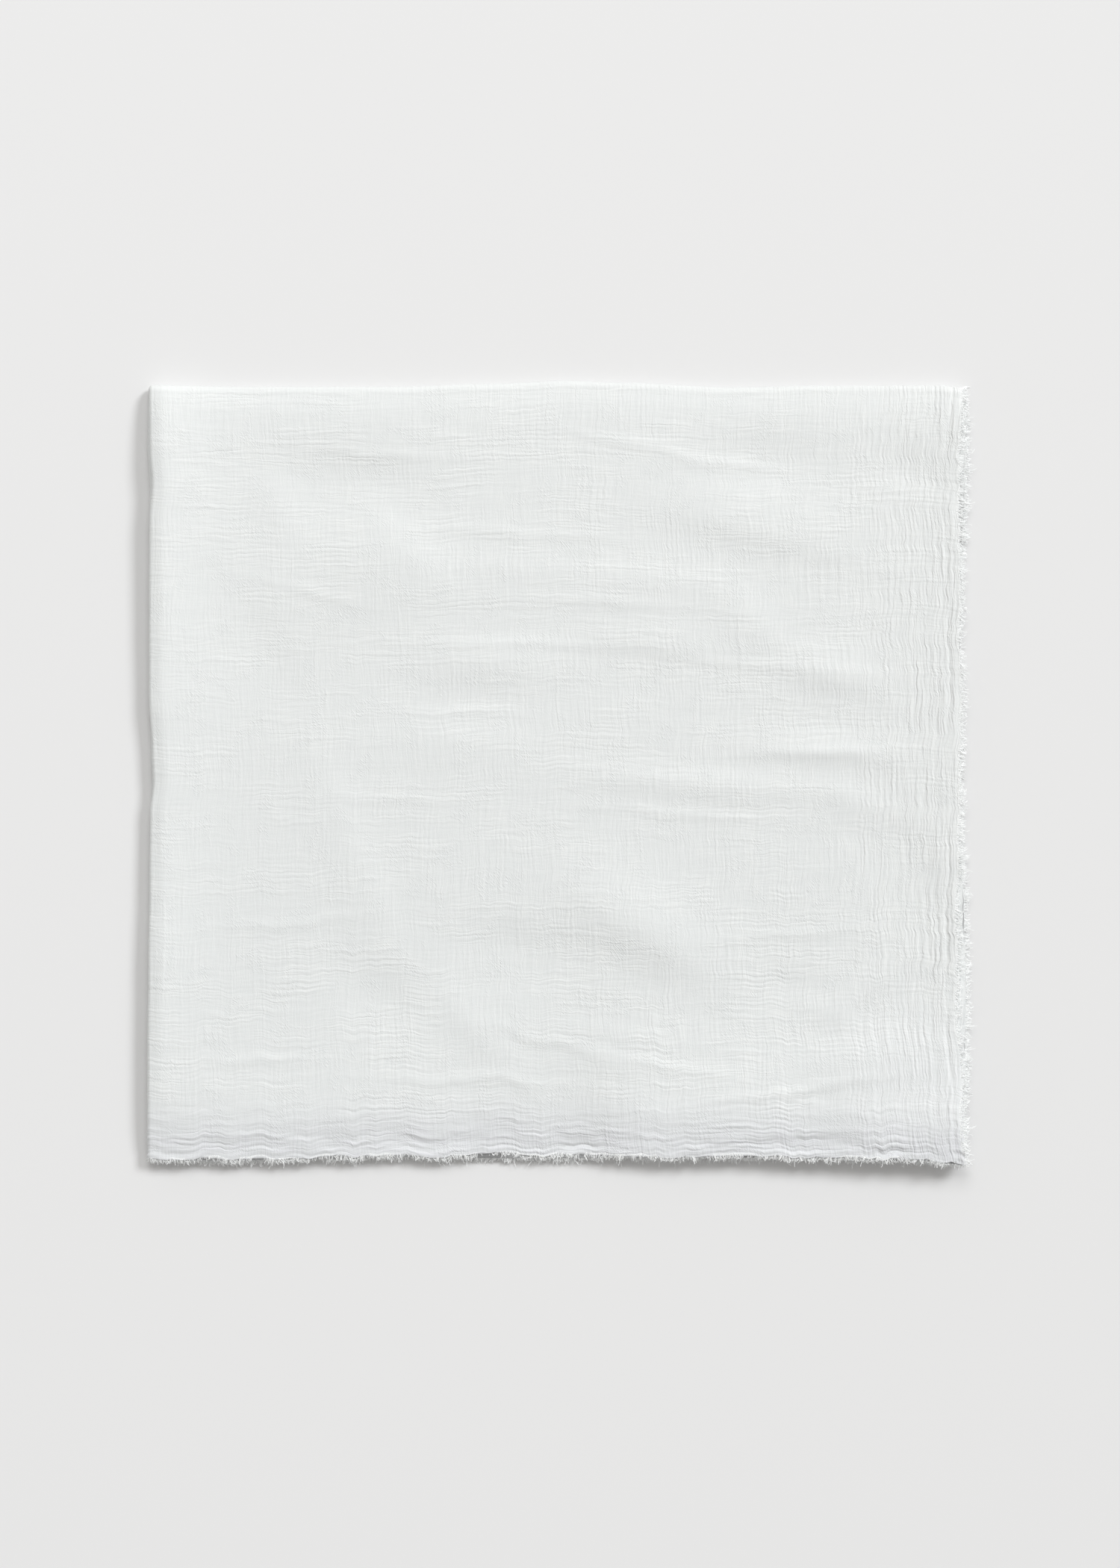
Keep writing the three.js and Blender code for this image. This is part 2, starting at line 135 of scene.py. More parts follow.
# Columns: x, the bottom edge of layers 0 to 3 from the top fold's line, the stack's rise there.
BOTTOM_EDGES = np.array([
    (-274, 515.5, 515.0, 516.0, 515.5, 7.6),
    (-215, 514.5, 515.5, 516.5, 516.0, 7.8),
    (-150, 513.5, 514.5, 514.0, 514.0, 7.4),
    (-95, 513.0, 513.5, 514.0, 513.5, 7.0),
    (-50, 513.5, 514.5, 515.0, 512.0, 5.8),
    (0, 512.5, 513.0, 514.0, 512.5, 5.6),
    (55, 513.5, 514.0, 513.5, 514.5, 10.4),
    (150, 513.0, 513.5, 514.5, 513.0, 11.4),
    (215, 515.0, 515.5, 515.0, 515.0, 14.2),
    (272, 517.0, 517.5, 517.5, 518.0, 14.6),
])

# The soft ridges and troughs that the top layer lies in, as in the frame's own solids. turn is
# the crest's direction in degrees from +X, long its half length, and front and back how far
# the slope on its upper side and the one on its lower side reach.
Swell = namedtuple("Swell", "x y turn long front back rise")
SWELLS = [Swell(*row) for row in (
    (-112, 156, -44, 46, 20, 60, 2.2),
    (-150, 203, -8, 48, 20, 34, -2.2),
    (-192, 186, -70, 22, 14, 14, 0.8),
    (-205, 95, -62, 40, 16, 30, -1.0),
    (-40, 140, -4, 60, 14, 22, 0.8),
    (130, 170, -14, 66, 26, 12, 1.6),
    (138, 216, -6, 46, 20, 20, -1.6),
    (234, 208, -10, 24, 16, 12, -1.2),
    (60, 134, -4, 46, 11, 18, 1.0),
    (122, 112, -38, 32, 14, 16, 1.1),
    (62, 93, -4, 46, 22, 9, 1.1),
    (178, 73, -10, 30, 16, 11, 1.6),
    (-45, 81, -3, 42, 12, 18, 1.1),
    (-70, 58, -6, 40, 14, 14, -0.6),
    (-66, 25, -2, 50, 12, 20, 0.7),
    (178, 21, -3, 48, 10, 9, 1.2),
    (172, 42, -3, 50, 12, 10, -0.5),
    (98, -1, -4, 80, 9, 11, 1.1),
    (205, -16, -18, 34, 10, 12, 0.8),
    (-140, -50, -68, 90, 14, 22, 0.9),
    (52, -98, -28, 52, 28, 20, 3.0),
    (-30, -114, -8, 48, 17, 34, -1.8),
    (150, -138, -10, 22, 12, 14, -1.0),
    (-118, -146, -38, 32, 20, 22, -1.4),
    (40, -170, -6, 60, 8, 8, 0.7),
    (40, -192, -8, 56, 9, 8, 0.8),
    (198, -188, 10, 54, 18, 15, 2.5),
    (210, -130, 38, 44, 10, 12, 0.9),
    (170, -150, -20, 34, 9, 9, 0.8),
    (-60, -168, -58, 36, 10, 12, 0.8),
    (-30, -196, -58, 40, 10, 12, 0.7),
    (234, -60, -62, 70, 16, 34, -0.9),
)]

# The sharper creases, finer than the solids hold. Same columns.
CREASES = [Swell(*row) for row in (
    (-120, 222, -3, 55, 2.6, 3.4, 0.5),
    (60, 224, -9, 60, 2.6, 3.4, 0.6),
    (110, 214, -4, 40, 2.4, 3.2, 0.5),
    (-30, 166, -5, 60, 2.6, 3.6, 0.5),
    (-170, 130, -14, 38, 2.6, 3.6, 0.4),
    (30, 120, -2, 60, 2.6, 3.4, 0.5),
    (-20, 93, -2, 65, 2.2, 3.0, 0.6),
    (120, 80, -4, 55, 2.6, 3.2, 0.5),
    (-60, 47, -2, 30, 2.2, 3.0, 0.5),
    (170, 22, 3, 45, 2.6, 3.2, 0.6),
    (-110, -10, -3, 45, 2.4, 3.2, 0.4),
    (80, -20, -3, 60, 2.4, 3.2, 0.5),
    (150, -100, 5, 50, 2.4, 3.2, 0.5),
    (-180, -92, 3, 50, 2.6, 3.4, 0.4),
    (-200, -184, 1, 36, 2.4, 3.2, 0.6),
    (0, -176, -16, 40, 2.6, 3.4, 0.7),
    (60, -186, -12, 50, 2.6, 3.4, 0.7),
    (-60, -199, -3, 60, 2.6, 3.4, 0.7),
    (160, -203, 10, 60, 2.6, 3.4, 0.8),
    (155, -239, 6, 32, 3.4, 5.0, -0.8),
    (-100, -238, -2, 50, 4.0, 5.0, -0.6),
    (215, -244, -6, 38, 2.6, 3.6, -0.6),
    (-10, -244, 3, 42, 3.0, 4.0, -0.4),
    (-205, -242, 2, 40, 3.0, 4.0, -0.35),
)]


def srgb(code):
    """A colour's linear red, green, blue and alpha from its six hex digits."""
    shares = [int(code[i:i + 2], 16) / 255 for i in (1, 3, 5)]
    linear = [s / 12.92 if s <= 0.04045 else ((s + 0.055) / 1.055) ** 2.4 for s in shares]
    return (*linear, 1.0)


def ease(share):
    """A share from 0 to 1 that starts and ends softly."""
    share = np.clip(share, 0, 1)
    return share * share * (3 - 2 * share)


def from_table(table, column, at):
    """The value of a table's column at each place, eased from row to row."""
    places = table[:, 0]
    row = np.clip(np.searchsorted(places, at, side="right") - 1, 0, len(places) - 2)
    share = ease((at - places[row]) / (places[row + 1] - places[row]))
    return table[row, column] * (1 - share) + table[row + 1, column] * share


def soft_noise(u, v, seed):
    """Smooth uneven values from -1 to 1, with about one hill or dip for each unit."""
    size = 256
    grid = np.random.default_rng(seed).uniform(-1, 1, (size, size))
    i, j = np.floor(u).astype(int), np.floor(v).astype(int)
    a, b = ease(u - i), ease(v - j)
    def corner(di, dj):
        return grid[(i + di) % size, (j + dj) % size]
    near = corner(0, 0) * (1 - a) + corner(1, 0) * a
    far = corner(0, 1) * (1 - a) + corner(1, 1) * a
    return near * (1 - b) + far * b


# Soft unevenness: how much, over how many millimetres across and along, and its seed.
Uneven = namedtuple("Uneven", "amount across along seed")


def uneven(kind, across, along):
    """Soft values from minus the amount to the amount."""
    return kind.amount * soft_noise(across / kind.across, along / kind.along, kind.seed)


# How far the woven edges wander where yarns have come away, and over what length, first far
# and then near. The hem's edges wander more. The seeds are the first layer's, each next layer
# has the next seed, and the near wandering adds a seed of its own.
EDGE_WANDER = ((1.0, 17), (0.8, 5))
HEM_WANDER_SHARE = 1.5
EDGE_SEEDS = {"right": 70, "hem": 80}
NEAR_WANDER_SEED = 40

# How far the sharper creases stray from their straight lines.
CREASE_WANDER = {"x": Uneven(3, 30, 30, 5), "y": Uneven(2, 22, 22, 6)}


def ragged(at, seed):
    """How far the woven edge stands out or in where yarns have come away."""
    return sum(
        amount * soft_noise(at / length, at * 0, seed + k * NEAR_WANDER_SEED)
        for k, (amount, length) in enumerate(EDGE_WANDER)
    )


def ridge_height(ridges, x, y):
    """The height of all the soft ridges and troughs of a table at each place."""
    total = np.zeros_like(x)
    for ridge in ridges:
        turn = math.radians(ridge.turn)
        along = (x - ridge.x) * math.cos(turn) + (y - ridge.y) * math.sin(turn)
        aside = (y - ridge.y) * math.cos(turn) - (x - ridge.x) * math.sin(turn)
        reach = np.where(aside > 0, ridge.front, ridge.back)
        total += ridge.rise * np.exp(-(along / ridge.long) ** 2 - (aside / reach) ** 2)
    return total


def stack_rise(x, y, creased=True):
    """How far the top layer's middle lies above the lowest layer's middle.

    It comes down softly to LEAST_RISE and never below it.
    """
    from_left = np.maximum(0, x - LEFT_FOLD_X)
    from_top = np.maximum(0, TOP_FOLD_Y - y)
    from_right = np.maximum(0, HALF_WIDTH - LEFT_FOLD_ARC - from_left)
    from_hem = np.maximum(0, HALF_DEPTH - TOP_FOLD_ARC - from_top)
    left_swell = from_table(LEFT_FOLD_LINE, 3, y) - STACK_RISE
    rise = STACK_RISE + left_swell * np.exp(-(from_left / LEFT_SWELL_REACH) ** 1.5)
    rise += LEFT_PINCH[0] * np.exp(-(from_left / LEFT_PINCH[1]) ** 2)
    rise += TOP_PINCH[0] * np.exp(-from_top / TOP_PINCH[1])
    rise += RIGHT_CURL[0] * np.exp(-from_right / RIGHT_CURL[1])
    rise += ridge_height(SWELLS, x, y)
    hem_rise = from_table(BOTTOM_EDGES, 5, x)
    bulged = hem_rise + HEM_BULGE[0]
    rise += (bulged - rise) * np.exp(-(from_hem / HEM_BULGE[1]) ** 2)
    rise += (hem_rise - rise) * np.exp(-(from_hem / HEM_DROOP_REACH) ** 2)
    if creased:
        rise += ridge_height(
            CREASES, x + uneven(CREASE_WANDER["x"], x, y), y + uneven(CREASE_WANDER["y"], x, y)
        )
    return LEAST_RISE + np.log1p(np.exp(2 * (rise - LEAST_RISE))) / 2


def folded(across, along, creased=True):
    """Where points of the flat cloth lie once folded, as x, y and z in the cloth's middle."""
    first_turn = np.pi / 2 * np.clip(across / LEFT_FOLD_ARC, -1, 1)
    second_turn = np.pi / 2 * np.clip(along / TOP_FOLD_ARC, -1, 1)
    outward, downward = np.sin(first_turn), np.sin(second_turn)
    # The lowest layer is at level 0, the top one at 1, and the two between at 1/3 and 2/3.
    level = 1 / 2 - (1 / 3 + outward / 6) * downward
    from_left = np.maximum(0, np.abs(across) - LEFT_FOLD_ARC)
    from_top = np.maximum(0, np.abs(along) - TOP_FOLD_ARC)
    plain_x = LEFT_FOLD_X + from_left
    plain_y = TOP_FOLD_Y - from_top

    lower, outer = (1 + downward) / 2, (1 + outward) / 2
    shares = (lower * outer, lower * (1 - outer), (1 - lower) * (1 - outer), (1 - lower) * outer)
    right_edge = sum(s * from_table(RIGHT_EDGES, k + 1, plain_y) for k, s in enumerate(shares))
    bottom_edge = sum(s * from_table(BOTTOM_EDGES, k + 1, plain_x) for k, s in enumerate(shares))
    if creased:
        right_seed, hem_seed = EDGE_SEEDS["right"], EDGE_SEEDS["hem"]
        right_edge += sum(s * ragged(plain_y, right_seed + k) for k, s in enumerate(shares))
        hem_wander = sum(s * ragged(plain_x, hem_seed + k) for k, s in enumerate(shares))
        bottom_edge += HEM_WANDER_SHARE * hem_wander
    left_fold = (
        (1 - lower) * from_table(LEFT_FOLD_LINE, 1, plain_y)
        + lower * from_table(LEFT_FOLD_LINE, 2, plain_y)
    )
    top_fold = from_table(TOP_FOLD_LINE, 1, plain_x)

    across_share = np.minimum(1, from_left / (HALF_WIDTH - LEFT_FOLD_ARC))
    along_share = np.minimum(1, from_top / (HALF_DEPTH - TOP_FOLD_ARC))
    past_right = np.maximum(0, np.abs(across) - HALF_WIDTH)
    past_hem = np.maximum(0, np.abs(along) - HALF_DEPTH)
    x = (
        LEFT_FOLD_X
        + left_fold * (1 - across_share)
        + right_edge * across_share
        + past_right
        - LEFT_FOLD_REACH * (np.cos(first_turn) - 1 + across_share)
    )
    fold_back = outer * TOP_FOLD_REACH["outer"] + (1 - outer) * TOP_FOLD_REACH["inner"]
    y = (
        TOP_FOLD_Y
        + (top_fold - TOP_FOLD_REACH["outer"]) * (1 - along_share)
        - bottom_edge * along_share
        - past_hem
        + fold_back * np.cos(second_turn)
    )
    z = CAD_THICKNESS / 2 + level * stack_rise(plain_x, plain_y, creased)
    return np.stack([x, y, z], axis=-1)


def facing(across, along, creased=True, step=0.4):
    """The direction that the outside of the folded cloth faces at each point."""
    by_across = folded(across + step, along, creased) - folded(across - step, along, creased)
    by_along = folded(across, along + step, creased) - folded(across, along - step, creased)
    normal = np.cross(by_across, by_along)
    return normal / np.linalg.norm(normal, axis=-1, keepdims=True)


def frame_shift():
    """From the tables' own origin to the frame's, so that the cloth lies on its CAD solid."""
    def divisions(half, arc, fold_steps):
        share = np.linspace(0, 1, CAD_STEPS + 1)
        share -= CAD_CROWDING * np.sin(2 * np.pi * share) / (2 * np.pi)
        fold = np.linspace(-arc, arc, fold_steps + 1)
        before = -half + (half - arc) * share[:-1]
        return np.concatenate([before, fold, arc + (half - arc) * share[1:]])
    across, along = np.meshgrid(
        divisions(HALF_WIDTH, LEFT_FOLD_ARC, CAD_FOLD_STEPS["left"]),
        divisions(HALF_DEPTH, TOP_FOLD_ARC, CAD_FOLD_STEPS["top"]),
        indexing="ij",
    )
    middle = folded(across, along, creased=False)
    outside = middle + facing(across, along, creased=False) * CAD_THICKNESS / 2
    low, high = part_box("cloth")
    return np.array([low.x / MM - outside[..., 0].min(), high.y / MM - outside[..., 1].max(), 0.0])


SHIFT = frame_shift()


# The crinkle that stands as real relief. It reaches this far in from the raw edges, and is
# this much weaker on the layers below.
RIGHT_REACH = 36
HEM_REACH = 28
HIDDEN_SHARE = 0.4
UPRIGHT_WANDER = (Uneven(1.4, 26, 45, 11), Uneven(0.35, 9, 16, 12))
LEVEL_WANDER = (Uneven(2.4, 40, 22, 13), Uneven(1.2, 11, 8, 14))
UPRIGHT_RIDGES = Uneven(0.5, 2.6, 52, 15)
LEVEL_RIDGES = Uneven(1.0, 26, 3.6, 16)
BROAD_RIDGES = Uneven(1.0, 38, 6.5, 17)

# How high the level and the broad ridges stand in the middle, and how much higher at the hem.
LEVEL_RISE = (0.04, 0.72)
BROAD_RISE = (0.05, 0.12)

# How much of the upright ridges the hem takes away, and of the level ones the right edge.
UPRIGHT_LOSS = 0.8
LEVEL_LOSS = 0.6

# The broken groove that runs beside a raw edge, and the lip outside it: how far in the groove
# lies, how deep and wide it is, how high and wide the lip is and how far from the groove, and
# how much of the groove there is.
Groove = namedtuple("Groove", "inward wander depth width lip lip_width lip_away share patches")
HEM_GROOVE = Groove(
    inward=5.0, wander=Uneven(1.2, 13, 1, 18), depth=0.6, width=1.7,
    lip=0.35, lip_width=1.3, lip_away=3.4, share=0.35, patches=Uneven(1.2, 26, 1, 19),
)
RIGHT_GROOVE = Groove(
    inward=7.0, wander=Uneven(1.5, 40, 1, 20), depth=0.6, width=1.5,
    lip=0.0, lip_width=1.0, lip_away=0.0, share=0.7, patches=Uneven(1.0, 34, 1, 21),
)


def groove_rise(groove, from_edge, beside):
    """How far a groove and its lip lift the cloth, at places beside the edge."""
    from_groove = from_edge - groove.inward - uneven(groove.wander, beside, beside * 0)
    share = ease(groove.share + uneven(groove.patches, beside, beside * 0))
    dip = groove.depth * np.exp(-(from_groove / groove.width) ** 2)
    lip = groove.lip * np.exp(-((from_groove + groove.lip_away) / groove.lip_width) ** 2)
    return share * (lip - dip)


def crinkle(across, along):
    """How far the crinkle lifts the cloth's outside.

    The lifts are rounded, with sharp bottoms between them: close and upright beside the right
    edge, wider apart and level behind the hem, and next to none in the middle of the cloth.
    """
    from_right = HALF_WIDTH - np.abs(across)
    from_hem = HALF_DEPTH - np.abs(along)
    at_right = np.exp(-(from_right / RIGHT_REACH) ** 2)
    at_hem = np.exp(-(from_hem / HEM_REACH) ** 2)
    wandered_across = across + sum(uneven(kind, across, along) for kind in UPRIGHT_WANDER)
    wandered_along = along + sum(uneven(kind, across, along) for kind in LEVEL_WANDER)
    upright = np.abs(uneven(UPRIGHT_RIDGES, wandered_across, along))
    level = np.abs(uneven(LEVEL_RIDGES, across, wandered_along))
    broad = uneven(BROAD_RIDGES, across, wandered_along)
    height = at_right * upright * (1 - UPRIGHT_LOSS * at_hem)
    height += (LEVEL_RISE[0] + LEVEL_RISE[1] * at_hem) * level * (1 - LEVEL_LOSS * at_right)
    height += (BROAD_RISE[0] + BROAD_RISE[1] * at_hem) * broad * (1 - LEVEL_LOSS * at_right)
    height += groove_rise(HEM_GROOVE, from_hem, across)
    height += groove_rise(RIGHT_GROOVE, from_right, along)
    on_top = (across > -LEFT_FOLD_ARC) & (along < TOP_FOLD_ARC)
    return height * np.where(on_top, 1.0, HIDDEN_SHARE)


# The cloth thins out to this share of its thickness over the last stretch before a raw edge.
EDGE_SHARE = 0.4
EDGE_TAPER = 5


def skin(across, along, side, thickness):
    """Points of the outside of the cloth, with side 1, or of its inside, with side -1."""
    from_edge = np.minimum(HALF_WIDTH - np.abs(across), HALF_DEPTH - np.abs(along))
    full = EDGE_SHARE + (1 - EDGE_SHARE) * ease(from_edge / EDGE_TAPER)
    lift = side * thickness / 2 * full
    if side > 0:
        lift = lift + crinkle(across, along)
    points = folded(across, along, side > 0) + facing(across, along, side > 0) * lift[..., None]
    points[..., 2] = np.maximum(0, points[..., 2])
    return (points + SHIFT) * MM


def both_ways(half, arc, flat_steps, fold_steps):
    """Places across a whole side of the cut, with even steps and a fold in the middle."""
    flat = np.linspace(arc, half, flat_steps + 1)
    return np.concatenate([-flat[::-1], np.linspace(-arc, arc, fold_steps + 1)[1:-1], flat])


def finer_at_edge(arc, half, reach, plain_steps, edge_steps):
    """Places from a fold to a raw edge, closer together over the last stretch beside the edge."""
    plain = np.linspace(arc, half - reach, plain_steps + 1)[:-1]
    return np.concatenate([plain, np.linspace(half - reach, half, edge_steps + 1)])


def zip_rows(faces, first, second, first_at, second_at):
    """Joins two rows of points by triangles, whatever number of points each one has."""
    i = j = 0
    while i + 1 < len(first) or j + 1 < len(second):
        step_first = j + 1 >= len(second) or (
            i + 1 < len(first) and first_at[i + 1] <= second_at[j + 1]
        )
        if step_first:
            faces.append((first[i], second[j], first[i + 1]))
            i += 1
        else:
            faces.append((first[i], second[j], second[j + 1]))
            j += 1


def quads(rows, start, count):
    """The faces between neighbouring rows of one length, where rows says how many there are."""
    i, j = np.meshgrid(np.arange(rows - 1), np.arange(count - 1), indexing="ij")
    a = (start + i * count + j).ravel()
    return np.stack([a, a + count, a + count + 1, a + 1], axis=1).tolist()


# How far in from the raw edges the top layer has its finer steps.
FINE_REACH = {"right": 56, "hem": 38}

# The steps round each fold, on the outside of the cloth and on its inside.
LEFT_FOLD_STEPS = {"outside": 10, "inside": 8}
TOP_FOLD_STEPS = {"outside": 14, "inside": 10}


class ClothNet:
    """The two skins of the folded cloth, with fine steps on the layer that lies on top."""

    def __init__(self, sizes):
        self.thickness = sizes.thickness / MM
        self.points, self.marks, self.faces = [], [], []
        self.total = 0
        self.build(sizes)

    def add_block(self, across, along, side):
        """Adds a skin's points where each of the places across meets each one along."""
        u, v = np.meshgrid(across, along, indexing="ij")
        self.points.append(skin(u, v, side, self.thickness).reshape(-1, 3))
        self.marks.append(np.stack([u, v], axis=-1).reshape(-1, 2))
        start = self.total
        self.total += u.size
        block = quads(len(across), start, len(along))
        self.faces += block if side > 0 else [face[::-1] for face in block]
        return np.arange(start, self.total).reshape(len(across), len(along))

    def build(self, sizes):
        """Lays the skins down block by block, and closes them along the raw edges."""
        fine_across = finer_at_edge(
            LEFT_FOLD_ARC, HALF_WIDTH, FINE_REACH["right"], sizes.steps_across, sizes.steps_at_right
        )
        fine_along = -finer_at_edge(
            TOP_FOLD_ARC, HALF_DEPTH, FINE_REACH["hem"], sizes.steps_along, sizes.steps_at_hem
        )[::-1]
        left_steps, top_steps = LEFT_FOLD_STEPS["outside"], TOP_FOLD_STEPS["outside"]
        coarse_along = both_ways(HALF_DEPTH, TOP_FOLD_ARC, sizes.steps_hidden, top_steps)
        top_fold = np.linspace(-TOP_FOLD_ARC, TOP_FOLD_ARC, top_steps + 1)
        left_fold = np.linspace(-LEFT_FOLD_ARC, LEFT_FOLD_ARC, left_steps + 1)
        beyond = np.linspace(TOP_FOLD_ARC, HALF_DEPTH, sizes.steps_hidden + 1)
        dense_across = np.concatenate([left_fold[:-1], fine_across])
        dense_along = np.concatenate([fine_along, top_fold[1:-1], beyond])
        hidden_across = -np.linspace(LEFT_FOLD_ARC, HALF_WIDTH, sizes.steps_hidden + 1)[:0:-1]

        top = self.add_block(dense_across, dense_along, 1)
        under = self.add_block(hidden_across, coarse_along, 1)
        zip_rows(self.faces, under[-1], top[0], coarse_along, dense_along)

        left_steps, top_steps = LEFT_FOLD_STEPS["inside"], TOP_FOLD_STEPS["inside"]
        inner_across = both_ways(HALF_WIDTH, LEFT_FOLD_ARC, sizes.steps_inside, left_steps)
        inner_along = both_ways(HALF_DEPTH, TOP_FOLD_ARC, sizes.steps_inside, top_steps)
        inner = self.add_block(inner_across, inner_along, -1)

        all_across = np.concatenate([hidden_across, dense_across])
        near = np.concatenate([under[:, 0], top[:, 0]])
        far = np.concatenate([under[:, -1], top[:, -1]])
        self.close_edge(near, inner[:, 0], all_across, inner_across, turned=False)
        self.close_edge(far, inner[:, -1], all_across, inner_across, turned=True)
        self.close_edge(under[0], inner[0], coarse_along, inner_along, turned=True)
        self.close_edge(top[-1], inner[-1], dense_along, inner_along, turned=False)

    def close_edge(self, outside, inside, outside_at, inside_at, turned):
        """Closes the thickness of the cloth along one raw side."""
        wall = []
        zip_rows(wall, outside, inside, outside_at, inside_at)
        self.faces += [face[::-1] for face in wall] if turned else wall


def mesh_object(name, points, faces, edges=()):
    """A new object of the given points and faces, linked to the scene."""
    mesh = bpy.data.meshes.new(name)
    mesh.from_pydata(points, edges, faces)
    mesh.validate()
    piece = bpy.data.objects.new(name, mesh)
    bpy.context.scene.collection.objects.link(piece)
    return piece


def add_node(tree, kind, inputs=(), output=0, **settings):
    """Adds a node with its settings, and gives back one of its outputs where it has any.

    Each of the inputs given is set to its value, or linked where that is another node's output.
    """
    node = tree.nodes.new(kind)
    for setting, value in settings.items():
        setattr(node, setting, value)
    for socket, value in dict(inputs).items():
        if isinstance(value, bpy.types.NodeSocket):
            tree.links.new(value, node.inputs[socket])
        else:
            node.inputs[socket].default_value = value
    return node.outputs[output] if len(node.outputs) else None


# Soft noise on the cloth: how many millimetres a hill of it takes across and along, its seed,
# and how much finer detail it has.
Pattern = namedtuple("Pattern", "across along seed detail")

# The weave's own wrinkles, fine ones between long ones, and the yarns in it.
FINE_UPRIGHT = Pattern(1.65, 24, 5, 0.6)
FINE_LEVEL = Pattern(24, 1.75, 6, 0.6)
LONG_UPRIGHT = Pattern(3.0, 50, 21, 0.2)
LONG_LEVEL = Pattern(50, 3.3, 22, 0.2)
KINKS = Pattern(4.0, 1.2, 7, 1.0)
YARNS_UPRIGHT = Pattern(1.1, 14, 15, 1.0)
YARNS_LEVEL = Pattern(14, 1.1, 16, 1.0)

# A real yarn is about 0.3 mm thick. It is drawn coarser, so that it shows.
SINGLE_YARNS = Pattern(0.7, 0.7, 8, 0.0)
YARN_PATCHES = Pattern(3, 3, 3, 1.0)
YARN_TWIST = Pattern(0.5, 0.5, 4, 1.0)

# The patches in which each kind of wrinkle is strong or weak.
PATCHES = {
    "upright patches": Pattern(38, 44, 11, 1.0),
    "level patches": Pattern(60, 26, 12, 1.0),
    "kink patches": Pattern(20, 20, 13, 1.0),
}

# How a pattern's seed moves it, in hills, so that no two patterns are alike.
SEED_STEP = (17.3, 9.1)

# The whole weave wanders, first in long bows and then in short ones: by how many millimetres,
# over what length, and with what seed.
Wander = namedtuple("Wander", "amount length seed")
WEAVE_WANDERS = (Wander(1.1, 34, 1), Wander(0.55, 5, 3))

# A soft step from one share to another, as what is measured goes from start to end. Across,
# along and from middle are millimetres from the two folds and from halfway down.
Step = namedtuple("Step", "measure start end low high")
AT_RIGHT = ("across", HALF_WIDTH - 90, HALF_WIDTH - 20)
AT_HEM = ("along", HALF_DEPTH - 50, HALF_DEPTH - 8)

# Where on the cloth something shows: each row is a product of steps, and the rows add up.
UPRIGHT_WRINKLES = (
    (Step("upright patches", 0.38, 0.62, 0.75, 1.15), Step("across", 0, HALF_WIDTH, 0.58, 1.0)),
    (Step(*AT_RIGHT, 0.0, 1.15),),
)
LEVEL_WRINKLES = (
    (
        Step("level patches", 0.38, 0.62, 0.4, 1.35),
        Step("across", 0, HALF_WIDTH, 0.86, 0.9),
        Step(*AT_RIGHT, 1.0, 0.8),
        Step("from middle", 40, 180, 0.75, 1.0),
        Step("along", 100, 450, 0.84, 1.0),
    ),
    (Step(*AT_HEM, 0.0, 0.5),),
)
KINKED = ((Step("kink patches", 0.5, 0.66, 0.05, 1.4),),)
# Painted shade: the crests go over to a darker, cooler colour in the lower right corner and behind the
# hem.
CORNER_SHADE = (
    (
        Step("across", HALF_WIDTH - 130, HALF_WIDTH - 20, 0.0, 0.3),
        Step("along", HALF_DEPTH - 150, HALF_DEPTH - 30, 0.0, 1.0),
    ),
)
HEM_SHADE = ((Step(*AT_HEM, 0.0, 0.8),),)
# Painted shade: less of the crests' colour towards the hem, so the cloth is darker there.
SHADE_DOWNWARD = ((Step("along", 120, 480, 0.0, 0.2),),)
# Painted shade along the top fold: a darker colour that takes the glare off the fold's rounded edge.
FOLD_SHADE = ((Step("along", 0.5, 6.0, 1.0, 0.0),),)

# How much of the crests' colour shows: everywhere, on the fine wrinkles and on the yarns. On the
# wrinkles it is painted shade, which leaves their bottoms darker; on the yarns it is their own uneven
# tone.
LEAST_LIGHT = 0.17
WRINKLE_PAINTED_SHADE = 0.6
YARN_LIGHT = 0.38


def pattern(tree, place, kind):
    """A pattern's noise at a place given in metres, from 0 to 1."""
    node = partial(add_node, tree)
    stretched = node("ShaderNodeVectorMath", {
        0: place,
        1: (1 / (kind.across * MM), 1 / (kind.along * MM), 0),
    }, operation="MULTIPLY")
    moved = node("ShaderNodeVectorMath", {
        0: stretched,
        1: (kind.seed * SEED_STEP[0], kind.seed * SEED_STEP[1], 0),
    })
    return node("ShaderNodeTexNoise", {
        "Vector": moved,
        "Scale": 1.0,
        "Detail": kind.detail,
    }, noise_dimensions="2D")


def ridges(tree, place, kind):
    """A pattern's rounded ridges with sharp bottoms between them, from 0 to about 1."""
    node = partial(add_node, tree)
    either_side = node("ShaderNodeMath", {
        0: pattern(tree, place, kind), 1: 2.0, 2: -1.0,
    }, operation="MULTIPLY_ADD")
    return node("ShaderNodeMath", {0: either_side}, operation="ABSOLUTE")


def wandered(tree, place, wander):
    """The place, pushed about by soft noise, so that what is drawn there wanders."""
    node = partial(add_node, tree)
    pushes = {}
    for k in (0, 1):
        noise = pattern(tree, place, Pattern(wander.length, wander.length, wander.seed + k, 0.0))
        pushes[k] = node("ShaderNodeMath", {
            0: noise, 1: 2 * wander.amount * MM, 2: -wander.amount * MM,
        }, operation="MULTIPLY_ADD")
    return node("ShaderNodeVectorMath", {0: place, 1: node("ShaderNodeCombineXYZ", pushes)})


